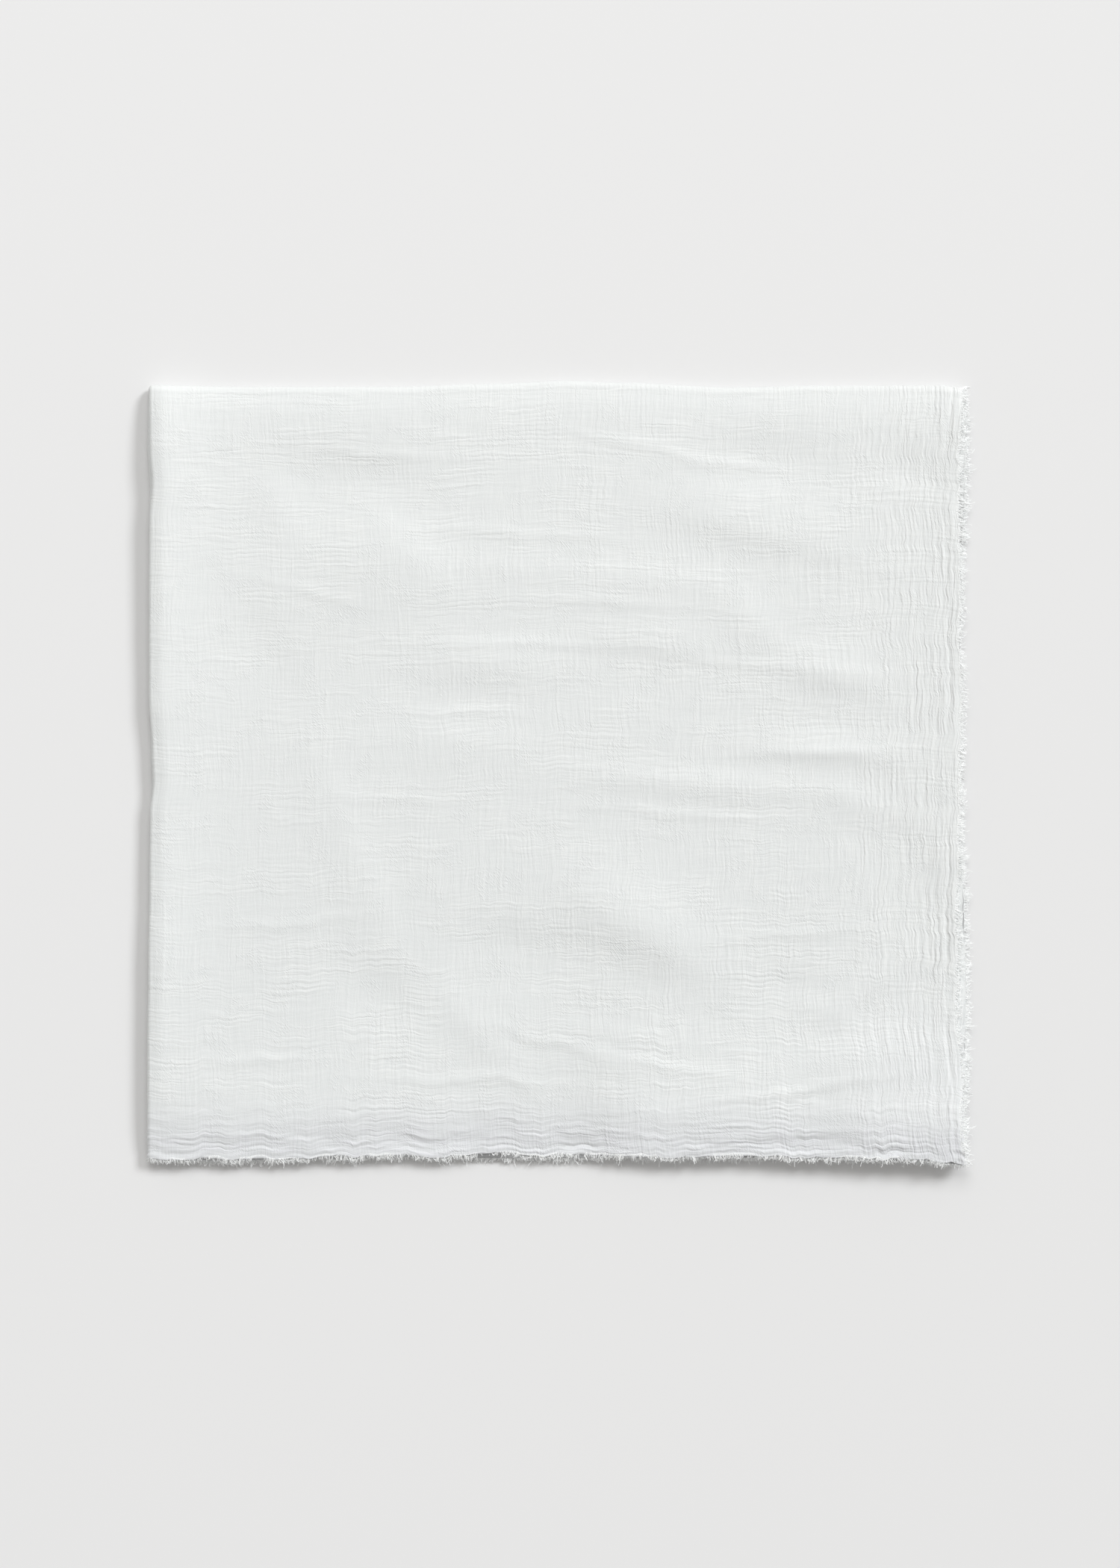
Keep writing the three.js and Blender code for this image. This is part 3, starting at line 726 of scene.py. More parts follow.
def cloth_measures(tree, uv):
    """What a Step can measure, as sockets: millimetres on the cloth, and the patches."""
    node = partial(add_node, tree)
    from_folds = node("ShaderNodeVectorMath", {0: uv}, operation="ABSOLUTE")
    in_mm = node("ShaderNodeVectorMath", {0: from_folds, "Scale": 1 / MM}, operation="SCALE")
    parts = node("ShaderNodeSeparateXYZ", {0: in_mm}).node.outputs
    measures = {"across": parts[0], "along": parts[1]}
    below_half = node("ShaderNodeMath", {0: parts[1], 1: HALF_DEPTH / 2}, operation="SUBTRACT")
    measures["from middle"] = node("ShaderNodeMath", {0: below_half}, operation="ABSOLUTE")
    for name, kind in PATCHES.items():
        measures[name] = pattern(tree, uv, kind)
    return measures


def strength(tree, measures, rows):
    """How strongly something shows at each place, from its rows of soft steps."""
    node = partial(add_node, tree)
    total = 0.0
    for steps in rows:
        share = 1.0
        for step in steps:
            reached = node("ShaderNodeMapRange", {
                "Value": measures[step.measure],
                "From Min": step.start,
                "From Max": step.end,
                "To Min": step.low,
                "To Max": step.high,
            }, interpolation_type="SMOOTHSTEP")
            share = node("ShaderNodeMath", {0: share, 1: reached}, operation="MULTIPLY")
        total = node("ShaderNodeMath", {0: total, 1: share}, operation="ADD")
    return total


def new_material(name):
    """A material and its empty node tree."""
    material = bpy.data.materials.new(name)
    material.use_nodes = True
    material.node_tree.nodes.clear()
    return material, material.node_tree


def crinkle_gauze_material(look):
    """Bleached cotton crepe gauze, woven with hard-twisted yarns that shrink into a crinkle.

    The eye gets a matt, slightly cool white with broken wrinkles, fine ones between long ones:
    upright in close rows towards the right edge, level at the left and behind the hem. Between
    them lie short slanting kinks in patches, and a fine grain of single yarns all over. Painted
    shade darkens the wrinkles' bottoms, the top fold, the hem and the lower right corner, and the
    cloth a little towards the hem.
    """
    material, tree = new_material("cotton crepe gauze, bleached")
    node = partial(add_node, tree)
    uv = node("ShaderNodeUVMap", uv_map="cloth")
    place = uv
    for wander in WEAVE_WANDERS:
        place = wandered(tree, place, wander)
    slanting = node("ShaderNodeVectorRotate", {
        "Vector": place, "Angle": look.kink_turn,
    }, rotation_type="Z_AXIS")
    measures = cloth_measures(tree, uv)
    upright = strength(tree, measures, UPRIGHT_WRINKLES)
    level = strength(tree, measures, LEVEL_WRINKLES)
    kinked = strength(tree, measures, KINKED)

    # Columns: the shape, how strongly it shows, how high it stands and how much it lightens.
    relief = (
        (ridges(tree, place, FINE_UPRIGHT), upright, look.upright_height, WRINKLE_PAINTED_SHADE),
        (ridges(tree, place, FINE_LEVEL), level, look.level_height, WRINKLE_PAINTED_SHADE),
        (ridges(tree, place, LONG_UPRIGHT), upright, look.long_height, 0.0),
        (ridges(tree, place, LONG_LEVEL), level, look.long_height, 0.0),
        (ridges(tree, slanting, KINKS), kinked, look.kink_height, 0.0),
        (pattern(tree, uv, SINGLE_YARNS), 1.0, look.yarn_height, 0.0),
        (pattern(tree, place, YARNS_UPRIGHT), 1.0, 0.0, YARN_LIGHT),
        (pattern(tree, place, YARNS_LEVEL), 1.0, 0.0, YARN_LIGHT),
    )
    # The wrinkles' share of the crests' colour is painted shade: their bottoms are drawn darker.
    height, light = 0.0, LEAST_LIGHT
    for shape, shows, rise, lightens in relief:
        shown = node("ShaderNodeMath", {0: shape, 1: shows}, operation="MULTIPLY")
        if rise:
            height = node("ShaderNodeMath", {
                0: shown, 1: rise / MM, 2: height,
            }, operation="MULTIPLY_ADD")
        if lightens:
            light = node("ShaderNodeMath", {
                0: shown, 1: lightens, 2: light,
            }, operation="MULTIPLY_ADD")
    bump = node("ShaderNodeBump", {"Height": height, "Distance": MM, "Strength": 1.0})

    # Painted shade: darker towards the hem.
    greyer = strength(tree, measures, SHADE_DOWNWARD)
    light = node("ShaderNodeMath", {0: light, 1: greyer}, operation="SUBTRACT")
    # Painted shade: a darker, cooler white in the lower right corner and behind the hem.
    cool_shade_share = node("ShaderNodeMath", {
        0: strength(tree, measures, CORNER_SHADE),
        1: strength(tree, measures, HEM_SHADE),
    }, operation="MAXIMUM")
    crests = node("ShaderNodeMix", {
        0: cool_shade_share,
        6: srgb(look.crest_colour),
        7: srgb(look.cool_shade_colour),
    }, output=2, data_type="RGBA")
    # The troughs' colour is painted shade in the crinkle's bottoms; the yarns' share is their own
    # uneven tone.
    woven = node("ShaderNodeMix", {
        0: light,
        6: srgb(look.trough_shade_colour),
        7: crests,
    }, output=2, data_type="RGBA")
    # Painted shade along the top fold.
    colour = node("ShaderNodeMix", {
        0: strength(tree, measures, FOLD_SHADE),
        6: woven,
        7: srgb(look.fold_shade_colour),
    }, output=2, data_type="RGBA")
    return finish_cotton(material, tree, colour, bump, glow=0.0)


def loose_yarn_material(look):
    """Loose cotton yarn, frayed out of the weave by hand.

    The eye gets fuzzy single threads, a shade lighter than the weave, with a trace of twist.
    """
    material, tree = new_material("loose cotton yarn, bleached")
    node = partial(add_node, tree)
    place = node("ShaderNodeTexCoord", output="Object")
    colour = node("ShaderNodeMix", {
        0: pattern(tree, place, YARN_PATCHES),
        6: srgb(look.crest_colour),
        7: srgb(look.yarn_colour),
    }, output=2, data_type="RGBA")
    bump = node("ShaderNodeBump", {
        "Height": pattern(tree, place, YARN_TWIST),
        "Distance": look.twist_height,
    })
    return finish_cotton(material, tree, colour, bump, look.fibre_glow)


def finish_cotton(material, tree, colour, normal, glow):
    """The matt, slightly downy surface that all the cotton shares.

    glow stands for the light that loose fibres pass on to each other, which a render cuts short.
    """
    shader = add_node(tree, "ShaderNodeBsdfPrincipled", {
        "Base Color": colour,
        "Roughness": 0.95,
        "Specular IOR Level": 0.2,
        "Sheen Weight": 0.2,
        "Sheen Roughness": 0.6,
        "Emission Color": srgb("#ffffff"),
        "Emission Strength": glow,
        "Normal": normal,
    })
    add_node(tree, "ShaderNodeOutputMaterial", {"Surface": shader})
    return material


def floor_material(look):
    """Plain matt paper of a studio table, pale grey all over."""
    material, tree = new_material("studio paper, matt")
    shader = add_node(tree, "ShaderNodeBsdfPrincipled", {
        "Base Color": srgb(look.floor_colour),
        "Roughness": 1.0,
        "Specular IOR Level": 0.0,
    })
    add_node(tree, "ShaderNodeOutputMaterial", {"Surface": shader})
    return material


# What the tree of a frayed edge takes as plain numbers, by the names of its inputs.
FRAY_INPUTS = ("Spacing", "Length", "Unevenness", "Thickness", "Lean", "Curl", "Droop")

# Soft noise along an edge, so that neighbouring threads are alike: over how many millimetres,
# and the number that sets it apart. SIDE_STEP parts the noise of one side from the next.
SWAY_NOISE = (4, 1)
LENGTH_NOISE = (9, 4)
BEND_NOISE = ((2.2, 6), (2.2, 7), (5, 8))
SIDE_STEP = 3.7

# How far threads sway with their neighbours and by themselves, and how they differ in length.
SWAY_TOGETHER = 0.6
SWAY_ALONE = 0.5
LIFT_ALONE = (-0.25, 0.15)
LENGTH_TOGETHER = 0.7
LENGTH_ALONE = 0.7
SHORTEST = 0.25

# A few threads stray: those that draw more than the first number are longer by the second.
STRAY = (0.985, 0.9)

# A thread's points, how its bend and its droop grow towards its end, how much of the bend goes
# up and down, how the thread tapers, and how flat its section is.
THREAD_POINTS = 5
BEND_POWER = 1.3
DROOP_POWER = 2.0
RISE_SHARE = 0.3
TAPER = 0.45
FLATNESS = 0.45


def fray_tree():
    """The node tree that sets loose threads along a raw edge."""
    tree = bpy.data.node_groups.new("frayed edge", "GeometryNodeTree")
    tree.is_modifier = True
    sockets = {"Edge": "Geometry", **dict.fromkeys(FRAY_INPUTS, "Float")}
    sockets.update({"Seed": "Int", "Material": "Material"})
    for name, kind in sockets.items():
        tree.interface.new_socket(name, in_out="INPUT", socket_type="NodeSocket" + kind)
    tree.interface.new_socket("Threads", in_out="OUTPUT", socket_type="NodeSocketGeometry")
    given = tree.nodes.new("NodeGroupInput").outputs
    roots, rotation, share = thread_roots(tree, given)
    node = partial(add_node, tree)
    line = node("GeometryNodeCurvePrimitiveLine", {
        "End": node("ShaderNodeCombineXYZ", {0: given["Length"]}),
    })
    placed = node("GeometryNodeInstanceOnPoints", {
        "Points": roots,
        "Instance": node("GeometryNodeResampleCurve", {"Curve": line, "Count": THREAD_POINTS}),
        "Rotation": rotation,
        "Scale": node("ShaderNodeCombineXYZ", {0: share, 1: 1.0, 2: 1.0}),
    })
    threads = node("GeometryNodeRealizeInstances", {"Geometry": placed})
    threads = spun(tree, given, bent_threads(tree, given, threads))
    plain = node("GeometryNodeRealizeInstances", {"Geometry": threads})
    dressed = node("GeometryNodeSetMaterial", {"Geometry": plain, "Material": given["Material"]})
    node("NodeGroupOutput", {0: dressed})
    return tree


def chance(tree, given, low, high, number):
    """An even draw for each thread. Each number gives draws of its own."""
    node = partial(add_node, tree)
    seed = node("ShaderNodeMath", {0: given["Seed"], 1: float(number)}, operation="ADD")
    return node("FunctionNodeRandomValue", {
        2: low, 3: high, "Seed": seed,
    }, output=1, data_type="FLOAT")


def wave(tree, given, noise, place=None):
    """Soft noise from about -1 to 1 by place, so that neighbours are alike."""
    node = partial(add_node, tree)
    length, number = noise
    depth = node("ShaderNodeMath", {
        0: given["Seed"], 1: SIDE_STEP, 2: float(number),
    }, operation="MULTIPLY_ADD")
    inputs = {"Scale": 1 / (length * MM), "Detail": 1.0, "W": depth}
    if place is not None:
        inputs["Vector"] = place
    value = node("ShaderNodeTexNoise", inputs, noise_dimensions="4D")
    return node("ShaderNodeMath", {0: value, 1: 4.0, 2: -2.0}, operation="MULTIPLY_ADD")


def thread_roots(tree, given):
    """Where the threads start, which way each one points, and its share of the usual length."""
    node = partial(add_node, tree)
    edge = node("GeometryNodeMeshToCurve", {"Mesh": given["Edge"]})
    roots = node("GeometryNodeResampleCurve", {
        "Curve": edge,
        "Length": given["Spacing"],
    }, mode="LENGTH")
    ways = {
        k: node("GeometryNodeInputNamedAttribute", {"Name": name}, data_type="FLOAT_VECTOR")
        for k, name in enumerate(("outward", "upward"))
    }
    aim = node("FunctionNodeAxesToRotation", ways, primary_axis="X", secondary_axis="Z")
    sway = node("ShaderNodeMath", {
        0: wave(tree, given, SWAY_NOISE),
        1: SWAY_TOGETHER,
        2: chance(tree, given, -SWAY_ALONE, SWAY_ALONE, 2),
    }, operation="MULTIPLY_ADD")
    lift = chance(tree, given, *LIFT_ALONE, 3)
    sideways = node("ShaderNodeMath", {0: sway, 1: given["Lean"]}, operation="MULTIPLY")
    up = node("ShaderNodeMath", {0: lift, 1: given["Lean"]}, operation="MULTIPLY")
    turn = node("FunctionNodeEulerToRotation", {
        0: node("ShaderNodeCombineXYZ", {1: up, 2: sideways}),
    })
    rotation = node("FunctionNodeRotateRotation", {0: aim, 1: turn}, rotation_space="LOCAL")

    tuft = node("ShaderNodeMath", {
        0: wave(tree, given, LENGTH_NOISE),
        1: LENGTH_TOGETHER,
        2: chance(tree, given, -LENGTH_ALONE, LENGTH_ALONE, 5),
    }, operation="MULTIPLY_ADD")
    uneven_share = node("ShaderNodeMath", {
        0: tuft, 1: given["Unevenness"], 2: 1.0,
    }, operation="MULTIPLY_ADD")
    strays = node("ShaderNodeMath", {
        0: chance(tree, given, 0.0, 1.0, 9), 1: STRAY[0],
    }, operation="GREATER_THAN")
    share = node("ShaderNodeMath", {
        0: strays, 1: STRAY[1], 2: uneven_share,
    }, operation="MULTIPLY_ADD")
    share = node("ShaderNodeMath", {0: share, 1: SHORTEST}, operation="MAXIMUM")
    return roots, rotation, share


def bent_threads(tree, given, threads):
    """The straight threads, curled and drooping more towards their ends, above the table."""
    node = partial(add_node, tree)
    along = node("GeometryNodeSplineParameter", output="Factor")
    here = node("GeometryNodeInputPosition")
    growing = node("ShaderNodeMath", {0: along, 1: BEND_POWER}, operation="POWER")
    bend = node("ShaderNodeMath", {0: growing, 1: given["Curl"]}, operation="MULTIPLY")
    rise = node("ShaderNodeMath", {0: bend, 1: RISE_SHARE}, operation="MULTIPLY")
    falling = node("ShaderNodeMath", {0: along, 1: DROOP_POWER}, operation="POWER")
    droop = node("ShaderNodeMath", {0: falling, 1: given["Droop"]}, operation="MULTIPLY")
    moves = {}
    for k, reach in enumerate((bend, bend, rise)):
        waved = wave(tree, given, BEND_NOISE[k], here)
        moves[k] = node("ShaderNodeMath", {0: waved, 1: reach}, operation="MULTIPLY")
    moves[2] = node("ShaderNodeMath", {0: moves[2], 1: droop}, operation="SUBTRACT")
    bent = node("GeometryNodeSetPosition", {
        "Geometry": threads,
        "Offset": node("ShaderNodeCombineXYZ", moves),
    })
    parts = node("ShaderNodeSeparateXYZ", {0: here}).node.outputs
    half = node("ShaderNodeMath", {0: given["Thickness"], 1: 0.5}, operation="MULTIPLY")
    least = node("ShaderNodeMath", {0: parts[2], 1: half}, operation="MAXIMUM")
    return node("GeometryNodeSetPosition", {
        "Geometry": bent,
        "Position": node("ShaderNodeCombineXYZ", {0: parts[0], 1: parts[1], 2: least}),
    })


def spun(tree, given, threads):
    """The lines made into four-sided threads that taper, with flat facets and closed ends."""
    node = partial(add_node, tree)
    along = node("GeometryNodeSplineParameter", output="Factor")
    thinned = node("GeometryNodeSetCurveRadius", {
        "Curve": threads,
        "Radius": node("ShaderNodeMath", {0: along, 1: -TAPER, 2: 1.0}, operation="MULTIPLY_ADD"),
    })
    level = node("GeometryNodeSetCurveNormal", {"Curve": thinned}, mode="Z_UP")
    half = node("ShaderNodeMath", {0: given["Thickness"], 1: 0.5}, operation="MULTIPLY")
    kite_height = node("ShaderNodeMath", {0: half, 1: FLATNESS}, operation="MULTIPLY")
    section = node("GeometryNodeCurvePrimitiveQuadrilateral", {
        "Width": given["Thickness"],
        "Bottom Height": kite_height,
        "Top Height": kite_height,
    }, mode="KITE")
    tubes = node("GeometryNodeCurveToMesh", {
        "Curve": level,
        "Profile Curve": section,
        "Fill Caps": True,
    })
    return node("GeometryNodeSetShadeSmooth", {"Geometry": tubes, "Shade Smooth": False})


# How far the threads' roots lie inside the woven edge and above the cloth's middle, and the
# least height of a root above the table, in mm. EDGE_POINTS is how many points an edge has.
ROOT_DEPTH = 1.4
ROOT_LIFT = 0.2
ROOT_LEAST = 0.4
EDGE_POINTS = 1000


def edge_line(name, across, along, outward_by):
    """The woven edge as a line of points, each with its way outward and its way up."""
    middle = folded(across, along)
    step = 0.5
    past = folded(across + outward_by[0] * step, along + outward_by[1] * step)
    outward = past - middle
    outward /= np.linalg.norm(outward, axis=-1, keepdims=True)
    upward = facing(across, along)
    lift = ROOT_LIFT + crinkle(across, along)
    root = middle + upward * lift[:, None] - outward * ROOT_DEPTH
    root[:, 2] = np.maximum(root[:, 2], ROOT_LEAST)
    points = (root + SHIFT) * MM
    line = mesh_object(name, points.tolist(), [], [(i, i + 1) for i in range(len(points) - 1)])
    for title, values in (("outward", outward), ("upward", upward)):
        attribute = line.data.attributes.new(title, "FLOAT_VECTOR", "POINT")
        attribute.data.foreach_set("vector", values.astype(np.float32).ravel())
    return line


# The four frayed sides: the CAD node that each replaces, the half of the cloth it is on,
# whether it is at the right or at the bottom, and how long its threads are against the usual.
FRAYED_SIDES = (
    ("fringe_right_outer", 1, True, 1.1),
    ("fringe_right_inner", -1, True, 1.2),
    ("fringe_bottom_lower", 1, False, 1.1),
    ("fringe_bottom_upper", -1, False, 0.85),
)


def frayed_side(node_name, sign, at_right, longer, tree, sizes, material, seed):
    """The loose threads of one side of the cloth, as a plain mesh."""
    if at_right:
        places = np.linspace(-HALF_DEPTH, HALF_DEPTH, EDGE_POINTS)
        beside = np.full(EDGE_POINTS, sign * HALF_WIDTH)
        line = edge_line(node_name + "_line", beside, places, (sign, 0))
    else:
        places = np.linspace(-HALF_WIDTH, HALF_WIDTH, EDGE_POINTS)
        below = np.full(EDGE_POINTS, sign * HALF_DEPTH)
        line = edge_line(node_name + "_line", places, below, (0, sign))
    modifier = line.modifiers.new("frayed edge", "NODES")
    modifier.node_group = tree
    values = {name: getattr(sizes, name.lower()) for name in FRAY_INPUTS}
    values["Length"] *= longer
    values["Seed"] = seed
    values["Material"] = material
    for item in tree.interface.items_tree:
        if item.in_out == "INPUT" and item.name in values:
            modifier[item.identifier] = values[item.name]
    line.update_tag()
    bpy.context.view_layer.update()
    seen = line.evaluated_get(bpy.context.evaluated_depsgraph_get())
    mesh = bpy.data.meshes.new_from_object(seen)
    threads = bpy.data.objects.new(node_name.replace("fringe", "frayed"), mesh)
    bpy.context.scene.collection.objects.link(threads)
    bpy.data.objects.remove(line)
    if len(mesh.polygons) == 0:
        raise RuntimeError(node_name + ": no threads were made")
    return threads


class ClothSizes(bpy.types.PropertyGroup):
    """The sizes of the cloth itself."""

    thickness: bpy.props.FloatProperty(
        name="Thickness", description="Thickness of the crinkled cloth",
        default=1.1 * MM, unit="LENGTH", precision=5,
    )
    steps_across: bpy.props.IntProperty(
        name="Steps across", description="Steps of the top layer up to its right edge", default=188,
    )
    steps_at_right: bpy.props.IntProperty(
        name="Steps at right", description="Finer steps beside the right edge", default=76,
    )
    steps_along: bpy.props.IntProperty(
        name="Steps down", description="Steps of the top layer down to its hem", default=192,
    )
    steps_at_hem: bpy.props.IntProperty(
        name="Steps at hem", description="Finer steps behind the hem", default=48,
    )
    steps_hidden: bpy.props.IntProperty(
        name="Hidden steps", description="Steps of the layers below, each way", default=40,
    )
    steps_inside: bpy.props.IntProperty(
        name="Inside steps", description="Steps of the cloth's inner side, each way", default=42,
    )


class GauzeLook(bpy.types.PropertyGroup):
    """The colours of the cotton and of its painted shade, and how high its fine crinkle stands."""

    crest_colour: bpy.props.StringProperty(
        name="Crests", description="Colour of the crinkle's crests, as hex digits", default="#e8eae9",
    )
    # Painted shade: darker, cooler crests at the hem and in the lower right corner.
    cool_shade_colour: bpy.props.StringProperty(
        name="Cool painted shade",
        description="Colour of the crests at the hem and the open corner, darker and cooler as painted shade",
        default="#dfe0e4",
    )
    # Painted shade: the darker colour in the bottoms of the crinkle.
    trough_shade_colour: bpy.props.StringProperty(
        name="Troughs", description="Colour in the bottoms of the crinkle, as hex digits",
        default="#dcdfdf",
    )
    # Painted shade along the top fold, darker than the crests.
    fold_shade_colour: bpy.props.StringProperty(
        name="Fold line", description="Colour along the middle fold, darker as painted shade",
        default="#dcdedd",
    )
    yarn_colour: bpy.props.StringProperty(
        name="Loose yarn", description="Colour of the loose threads, as hex digits", default="#f8f9f9",
    )
    fibre_glow: bpy.props.FloatProperty(
        name="Fibre glow", description="Light that the loose threads pass on to each other",
        default=0.05,
    )
    twist_height: bpy.props.FloatProperty(
        name="Twist", description="Height of the twist on a loose thread",
        default=0.1 * MM, unit="LENGTH", precision=5,
    )
    upright_height: bpy.props.FloatProperty(
        name="Upright wrinkles", description="Height of the fine upright wrinkles",
        default=0.14 * MM, unit="LENGTH", precision=5,
    )
    level_height: bpy.props.FloatProperty(
        name="Level wrinkles", description="Height of the fine level wrinkles",
        default=0.09 * MM, unit="LENGTH", precision=5,
    )
    long_height: bpy.props.FloatProperty(
        name="Long wrinkles", description="Height of the long wrinkles that the fine ones lie between",
        default=0.235 * MM, unit="LENGTH", precision=5,
    )
    kink_height: bpy.props.FloatProperty(
        name="Kinks", description="Height of the short slanting kinks",
        default=0.14 * MM, unit="LENGTH", precision=5,
    )
    kink_turn: bpy.props.FloatProperty(
        name="Kink turn", description="How far the kinks are turned from level",
        default=math.radians(52), unit="ROTATION",
    )
    yarn_height: bpy.props.FloatProperty(
        name="Yarn", description="Height of the single yarns, drawn coarser than real so they show",
        default=0.03 * MM, unit="LENGTH", precision=5,
    )


class FraySizes(bpy.types.PropertyGroup):
    """The sizes of the loose threads at the raw edges."""

    spacing: bpy.props.FloatProperty(
        name="Spacing", description="Distance from thread to thread",
        default=0.27 * MM, unit="LENGTH", precision=5,
    )
    length: bpy.props.FloatProperty(
        name="Length", description="Usual length of a loose thread",
        default=3.6 * MM, unit="LENGTH", precision=5,
    )
    unevenness: bpy.props.FloatProperty(
        name="Unevenness", description="How much the threads differ in length", default=0.6,
    )
    thickness: bpy.props.FloatProperty(
        name="Thickness", description="Thickness of a thread at its root",
        default=0.34 * MM, unit="LENGTH", precision=5,
    )
    lean: bpy.props.FloatProperty(
        name="Lean", description="How far the threads lean from straight out",
        default=1.0, unit="ROTATION",
    )
    curl: bpy.props.FloatProperty(
        name="Curl", description="How far a thread's end wanders",
        default=1.9 * MM, unit="LENGTH", precision=5,
    )
    droop: bpy.props.FloatProperty(
        name="Droop", description="How far a thread's end hangs below its root",
        default=1.2 * MM, unit="LENGTH", precision=5,
    )


class StageLook(bpy.types.PropertyGroup):
    """The table, the lights and the camera."""

    floor_colour: bpy.props.StringProperty(
        name="Table", description="Colour of the table, as hex digits", default="#e8e8e8",
    )
    key_bearing: bpy.props.FloatProperty(
        name="Key bearing", description="Where the main light comes from, from +X towards +Y",
        default=math.radians(39), unit="ROTATION",
    )
    key_height: bpy.props.FloatProperty(
        name="Key height", description="How high the main light stands above the table",
        default=math.radians(36), unit="ROTATION",
    )
    key_breadth: bpy.props.FloatProperty(
        name="Key breadth", description="How wide the main light looks from the table",
        default=math.radians(17), unit="ROTATION",
    )
    key_strength: bpy.props.FloatProperty(
        name="Key strength", description="Strength of the main light", default=1.8,
    )
    key_colour: bpy.props.StringProperty(
        name="Key colour", description="Colour of the main light, as hex digits", default="#fbfdff",
    )
    softbox_height: bpy.props.FloatProperty(
        name="Softbox height", description="How high the broad lamp behind stands above the table",
        default=math.radians(50), unit="ROTATION",
    )
    softbox_distance: bpy.props.FloatProperty(
        name="Softbox distance", description="How far the broad lamp behind is from the scarf",
        default=7.0, unit="LENGTH",
    )
    softbox_size: bpy.props.FloatProperty(
        name="Softbox size", description="Side of the broad lamp behind", default=3.6, unit="LENGTH",
    )
    softbox_power: bpy.props.FloatProperty(
        name="Softbox power", description="Power of the broad lamp behind in watts", default=160.0,
    )
    fill_strength: bpy.props.FloatProperty(
        name="Fill strength", description="Strength of the light from all round", default=0.455,
    )
    fill_colour: bpy.props.StringProperty(
        name="Fill colour", description="Colour of the light from all round, as hex digits",
        default="#fffdfa",
    )
    fill_lean: bpy.props.FloatProperty(
        name="Fill lean", description="How much more of it comes from behind than from in front",
        default=0.3,
    )
    lens: bpy.props.FloatProperty(
        name="Lens", description="Focal length of the camera in millimetres", default=100.0,
    )


def settings(context):
    """The scarf's own settings, kept in the scene."""
    return context.scene.scarf_settings


def hand_over(piece, slot, *nodes):
    """Puts a finished piece on the root and hides the parts of the frame that it stands for."""
    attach(piece, "root")
    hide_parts(*nodes)


class SCARF_OT_cloth(bpy.types.Operator):
    """Build the folded cloth"""

    bl_idname = "scarf.cloth"
    bl_label = "Folded cloth"

    def execute(self, context):
        net = ClothNet(settings(context).cloth)
        points = np.concatenate(net.points)
        marks = np.concatenate(net.marks) * MM
        cloth = mesh_object("scarf_cloth", points.tolist(), net.faces)
        corners = np.empty(len(cloth.data.loops), dtype=np.int32)
        cloth.data.loops.foreach_get("vertex_index", corners)
        uv = cloth.data.uv_layers.new(name="cloth")
        uv.data.foreach_set("uv", marks[corners].astype(np.float32).ravel())
        cloth.data.shade_smooth()
        cloth.data.materials.append(crinkle_gauze_material(settings(context).look))
        hand_over(cloth, "crinkle_gauze", "cloth")
        return {"FINISHED"}


class SCARF_OT_frayed_edges(bpy.types.Operator):
    """Build the loose threads along the four raw edges"""

    bl_idname = "scarf.frayed_edges"
    bl_label = "Frayed edges"

    def execute(self, context):
        chosen = settings(context)
        material = loose_yarn_material(chosen.look)
        tree = fray_tree()
        for number, (node_name, *side) in enumerate(FRAYED_SIDES):
            threads = frayed_side(node_name, *side, tree, chosen.fray, material, number + 1)
            hand_over(threads, "loose_yarn", node_name)
        return {"FINISHED"}


# The middle of the photograph on the table top, in the millimetres of the columns above, and
# the photograph's scale and height. SENSOR is the camera's, in mm, and FLOOR_SIZE is the side
# of the table top in metres.
PHOTO_MIDDLE = np.array([-0.5, -4.0, 0.0])
PHOTO_MM_PER_PIXEL = 0.5
PHOTO_HEIGHT = 2100
SENSOR = 36.0
FLOOR_SIZE = 60.0


def set_table(stage):
    """A table top that reaches past every view of the scarf."""
    half = FLOOR_SIZE / 2
    corners = [(-half, -half, 0), (half, -half, 0), (half, half, 0), (-half, half, 0)]
    floor = mesh_object("table", corners, [(0, 1, 2, 3)])
    floor.data.materials.append(floor_material(stage))


def add_lamp(name, lamp, towards, distance):
    """Puts a lamp into the scene, some way off towards where its light comes from."""
    holder = bpy.data.objects.new(name, lamp)
    holder.location = towards * distance
    holder.rotation_euler = towards.to_track_quat("Z", "Y").to_euler()
    bpy.context.scene.collection.objects.link(holder)


def set_lamps(stage):
    """The main light from the right and behind, and the broad lamp straight behind."""
    key = bpy.data.lights.new("key", "SUN")
    key.energy = stage.key_strength
    key.color = srgb(stage.key_colour)[:3]
    key.angle = stage.key_breadth
    towards_key = Vector((
        math.cos(stage.key_height) * math.cos(stage.key_bearing),
        math.cos(stage.key_height) * math.sin(stage.key_bearing),
        math.sin(stage.key_height),
    ))
    add_lamp("key", key, towards_key, 0.0)

    softbox = bpy.data.lights.new("softbox", "AREA")
    softbox.shape = "SQUARE"
    softbox.size = stage.softbox_size
    softbox.energy = stage.softbox_power
    behind = Vector((0, math.cos(stage.softbox_height), math.sin(stage.softbox_height)))
    add_lamp("softbox", softbox, behind, stage.softbox_distance)


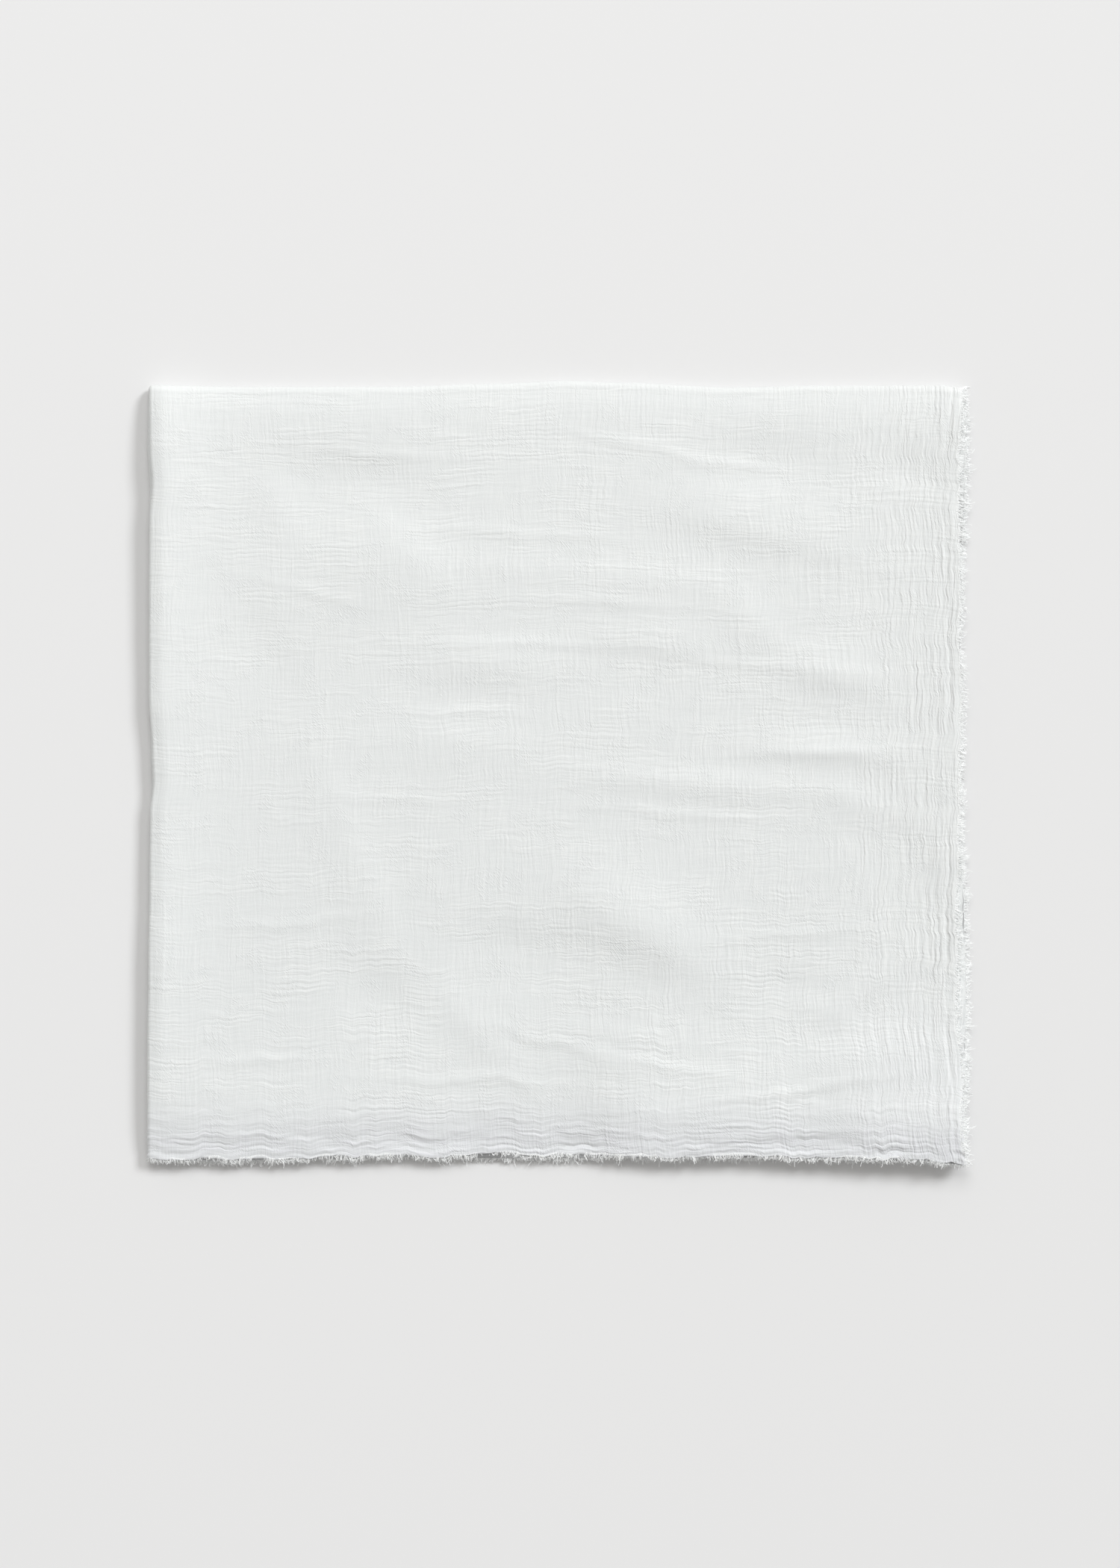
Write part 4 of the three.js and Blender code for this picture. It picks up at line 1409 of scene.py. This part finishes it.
def set_studio_light(stage):
    """The soft light from all round, a little stronger from behind."""
    world = bpy.data.worlds.new("studio")
    world.use_nodes = True
    tree = world.node_tree
    tree.nodes.clear()
    node = partial(add_node, tree)
    from_behind = node("ShaderNodeVectorMath", {
        0: node("ShaderNodeTexCoord", output="Generated"),
        1: (0, stage.fill_lean * stage.fill_strength, 0),
    }, output="Value", operation="DOT_PRODUCT")
    light = node("ShaderNodeBackground", {
        "Color": srgb(stage.fill_colour),
        "Strength": node("ShaderNodeMath", {
            0: from_behind, 1: stage.fill_strength,
        }, operation="ADD"),
    })
    node("ShaderNodeOutputWorld", {"Surface": light})
    bpy.context.scene.world = world
    bpy.context.scene.view_settings.view_transform = "Standard"


def set_camera(stage):
    """The camera straight above, as far off as frames the photograph's height."""
    camera = bpy.data.objects.new("camera", bpy.data.cameras.new("camera"))
    camera.data.lens = stage.lens
    camera.data.sensor_width = SENSOR
    middle = (PHOTO_MIDDLE + SHIFT) * MM
    height = PHOTO_HEIGHT * PHOTO_MM_PER_PIXEL * MM * stage.lens / SENSOR
    camera.location = (middle[0], middle[1], height)
    bpy.context.scene.collection.objects.link(camera)
    bpy.context.scene.camera = camera


class SCARF_OT_stage(bpy.types.Operator):
    """Set the table, the lights and the camera"""

    bl_idname = "scarf.stage"
    bl_label = "Stage"

    def execute(self, context):
        stage = settings(context).stage
        set_table(stage)
        set_lamps(stage)
        set_studio_light(stage)
        set_camera(stage)
        return {"FINISHED"}


class ScarfSettings(bpy.types.PropertyGroup):
    """All that a user would change."""

    cloth: bpy.props.PointerProperty(type=ClothSizes, name="Cloth", description="Sizes of the cloth")
    look: bpy.props.PointerProperty(type=GauzeLook, name="Look", description="Colours and crinkle")
    fray: bpy.props.PointerProperty(type=FraySizes, name="Fray", description="Sizes of the threads")
    stage: bpy.props.PointerProperty(type=StageLook, name="Stage", description="Table and lights")


class SCARF_PT_panel(bpy.types.Panel):
    """Lists the scarf's settings and its operators"""

    bl_idname = "SCARF_PT_panel"
    bl_label = "Crinkle scarf"
    bl_space_type = "VIEW_3D"
    bl_region_type = "UI"
    bl_category = "Scarf"

    def draw(self, context):
        for group in (getattr(settings(context), name) for name in ("cloth", "look", "fray", "stage")):
            for name in group.__annotations__:
                self.layout.prop(group, name)
        for operator in OPERATORS:
            self.layout.operator(operator.bl_idname)


OPERATORS = (SCARF_OT_cloth, SCARF_OT_frayed_edges, SCARF_OT_stage)
CLASSES = (ClothSizes, GauzeLook, FraySizes, StageLook, ScarfSettings, *OPERATORS, SCARF_PT_panel)


def register():
    for each in CLASSES:
        bpy.utils.register_class(each)
    bpy.types.Scene.scarf_settings = bpy.props.PointerProperty(type=ScarfSettings)


def unregister():
    del bpy.types.Scene.scarf_settings
    for each in reversed(CLASSES):
        bpy.utils.unregister_class(each)


def main():
    register()
    bpy.ops.scarf.cloth()
    bpy.ops.scarf.frayed_edges()
    bpy.ops.scarf.stage()


if __name__ == "__main__":
    main()
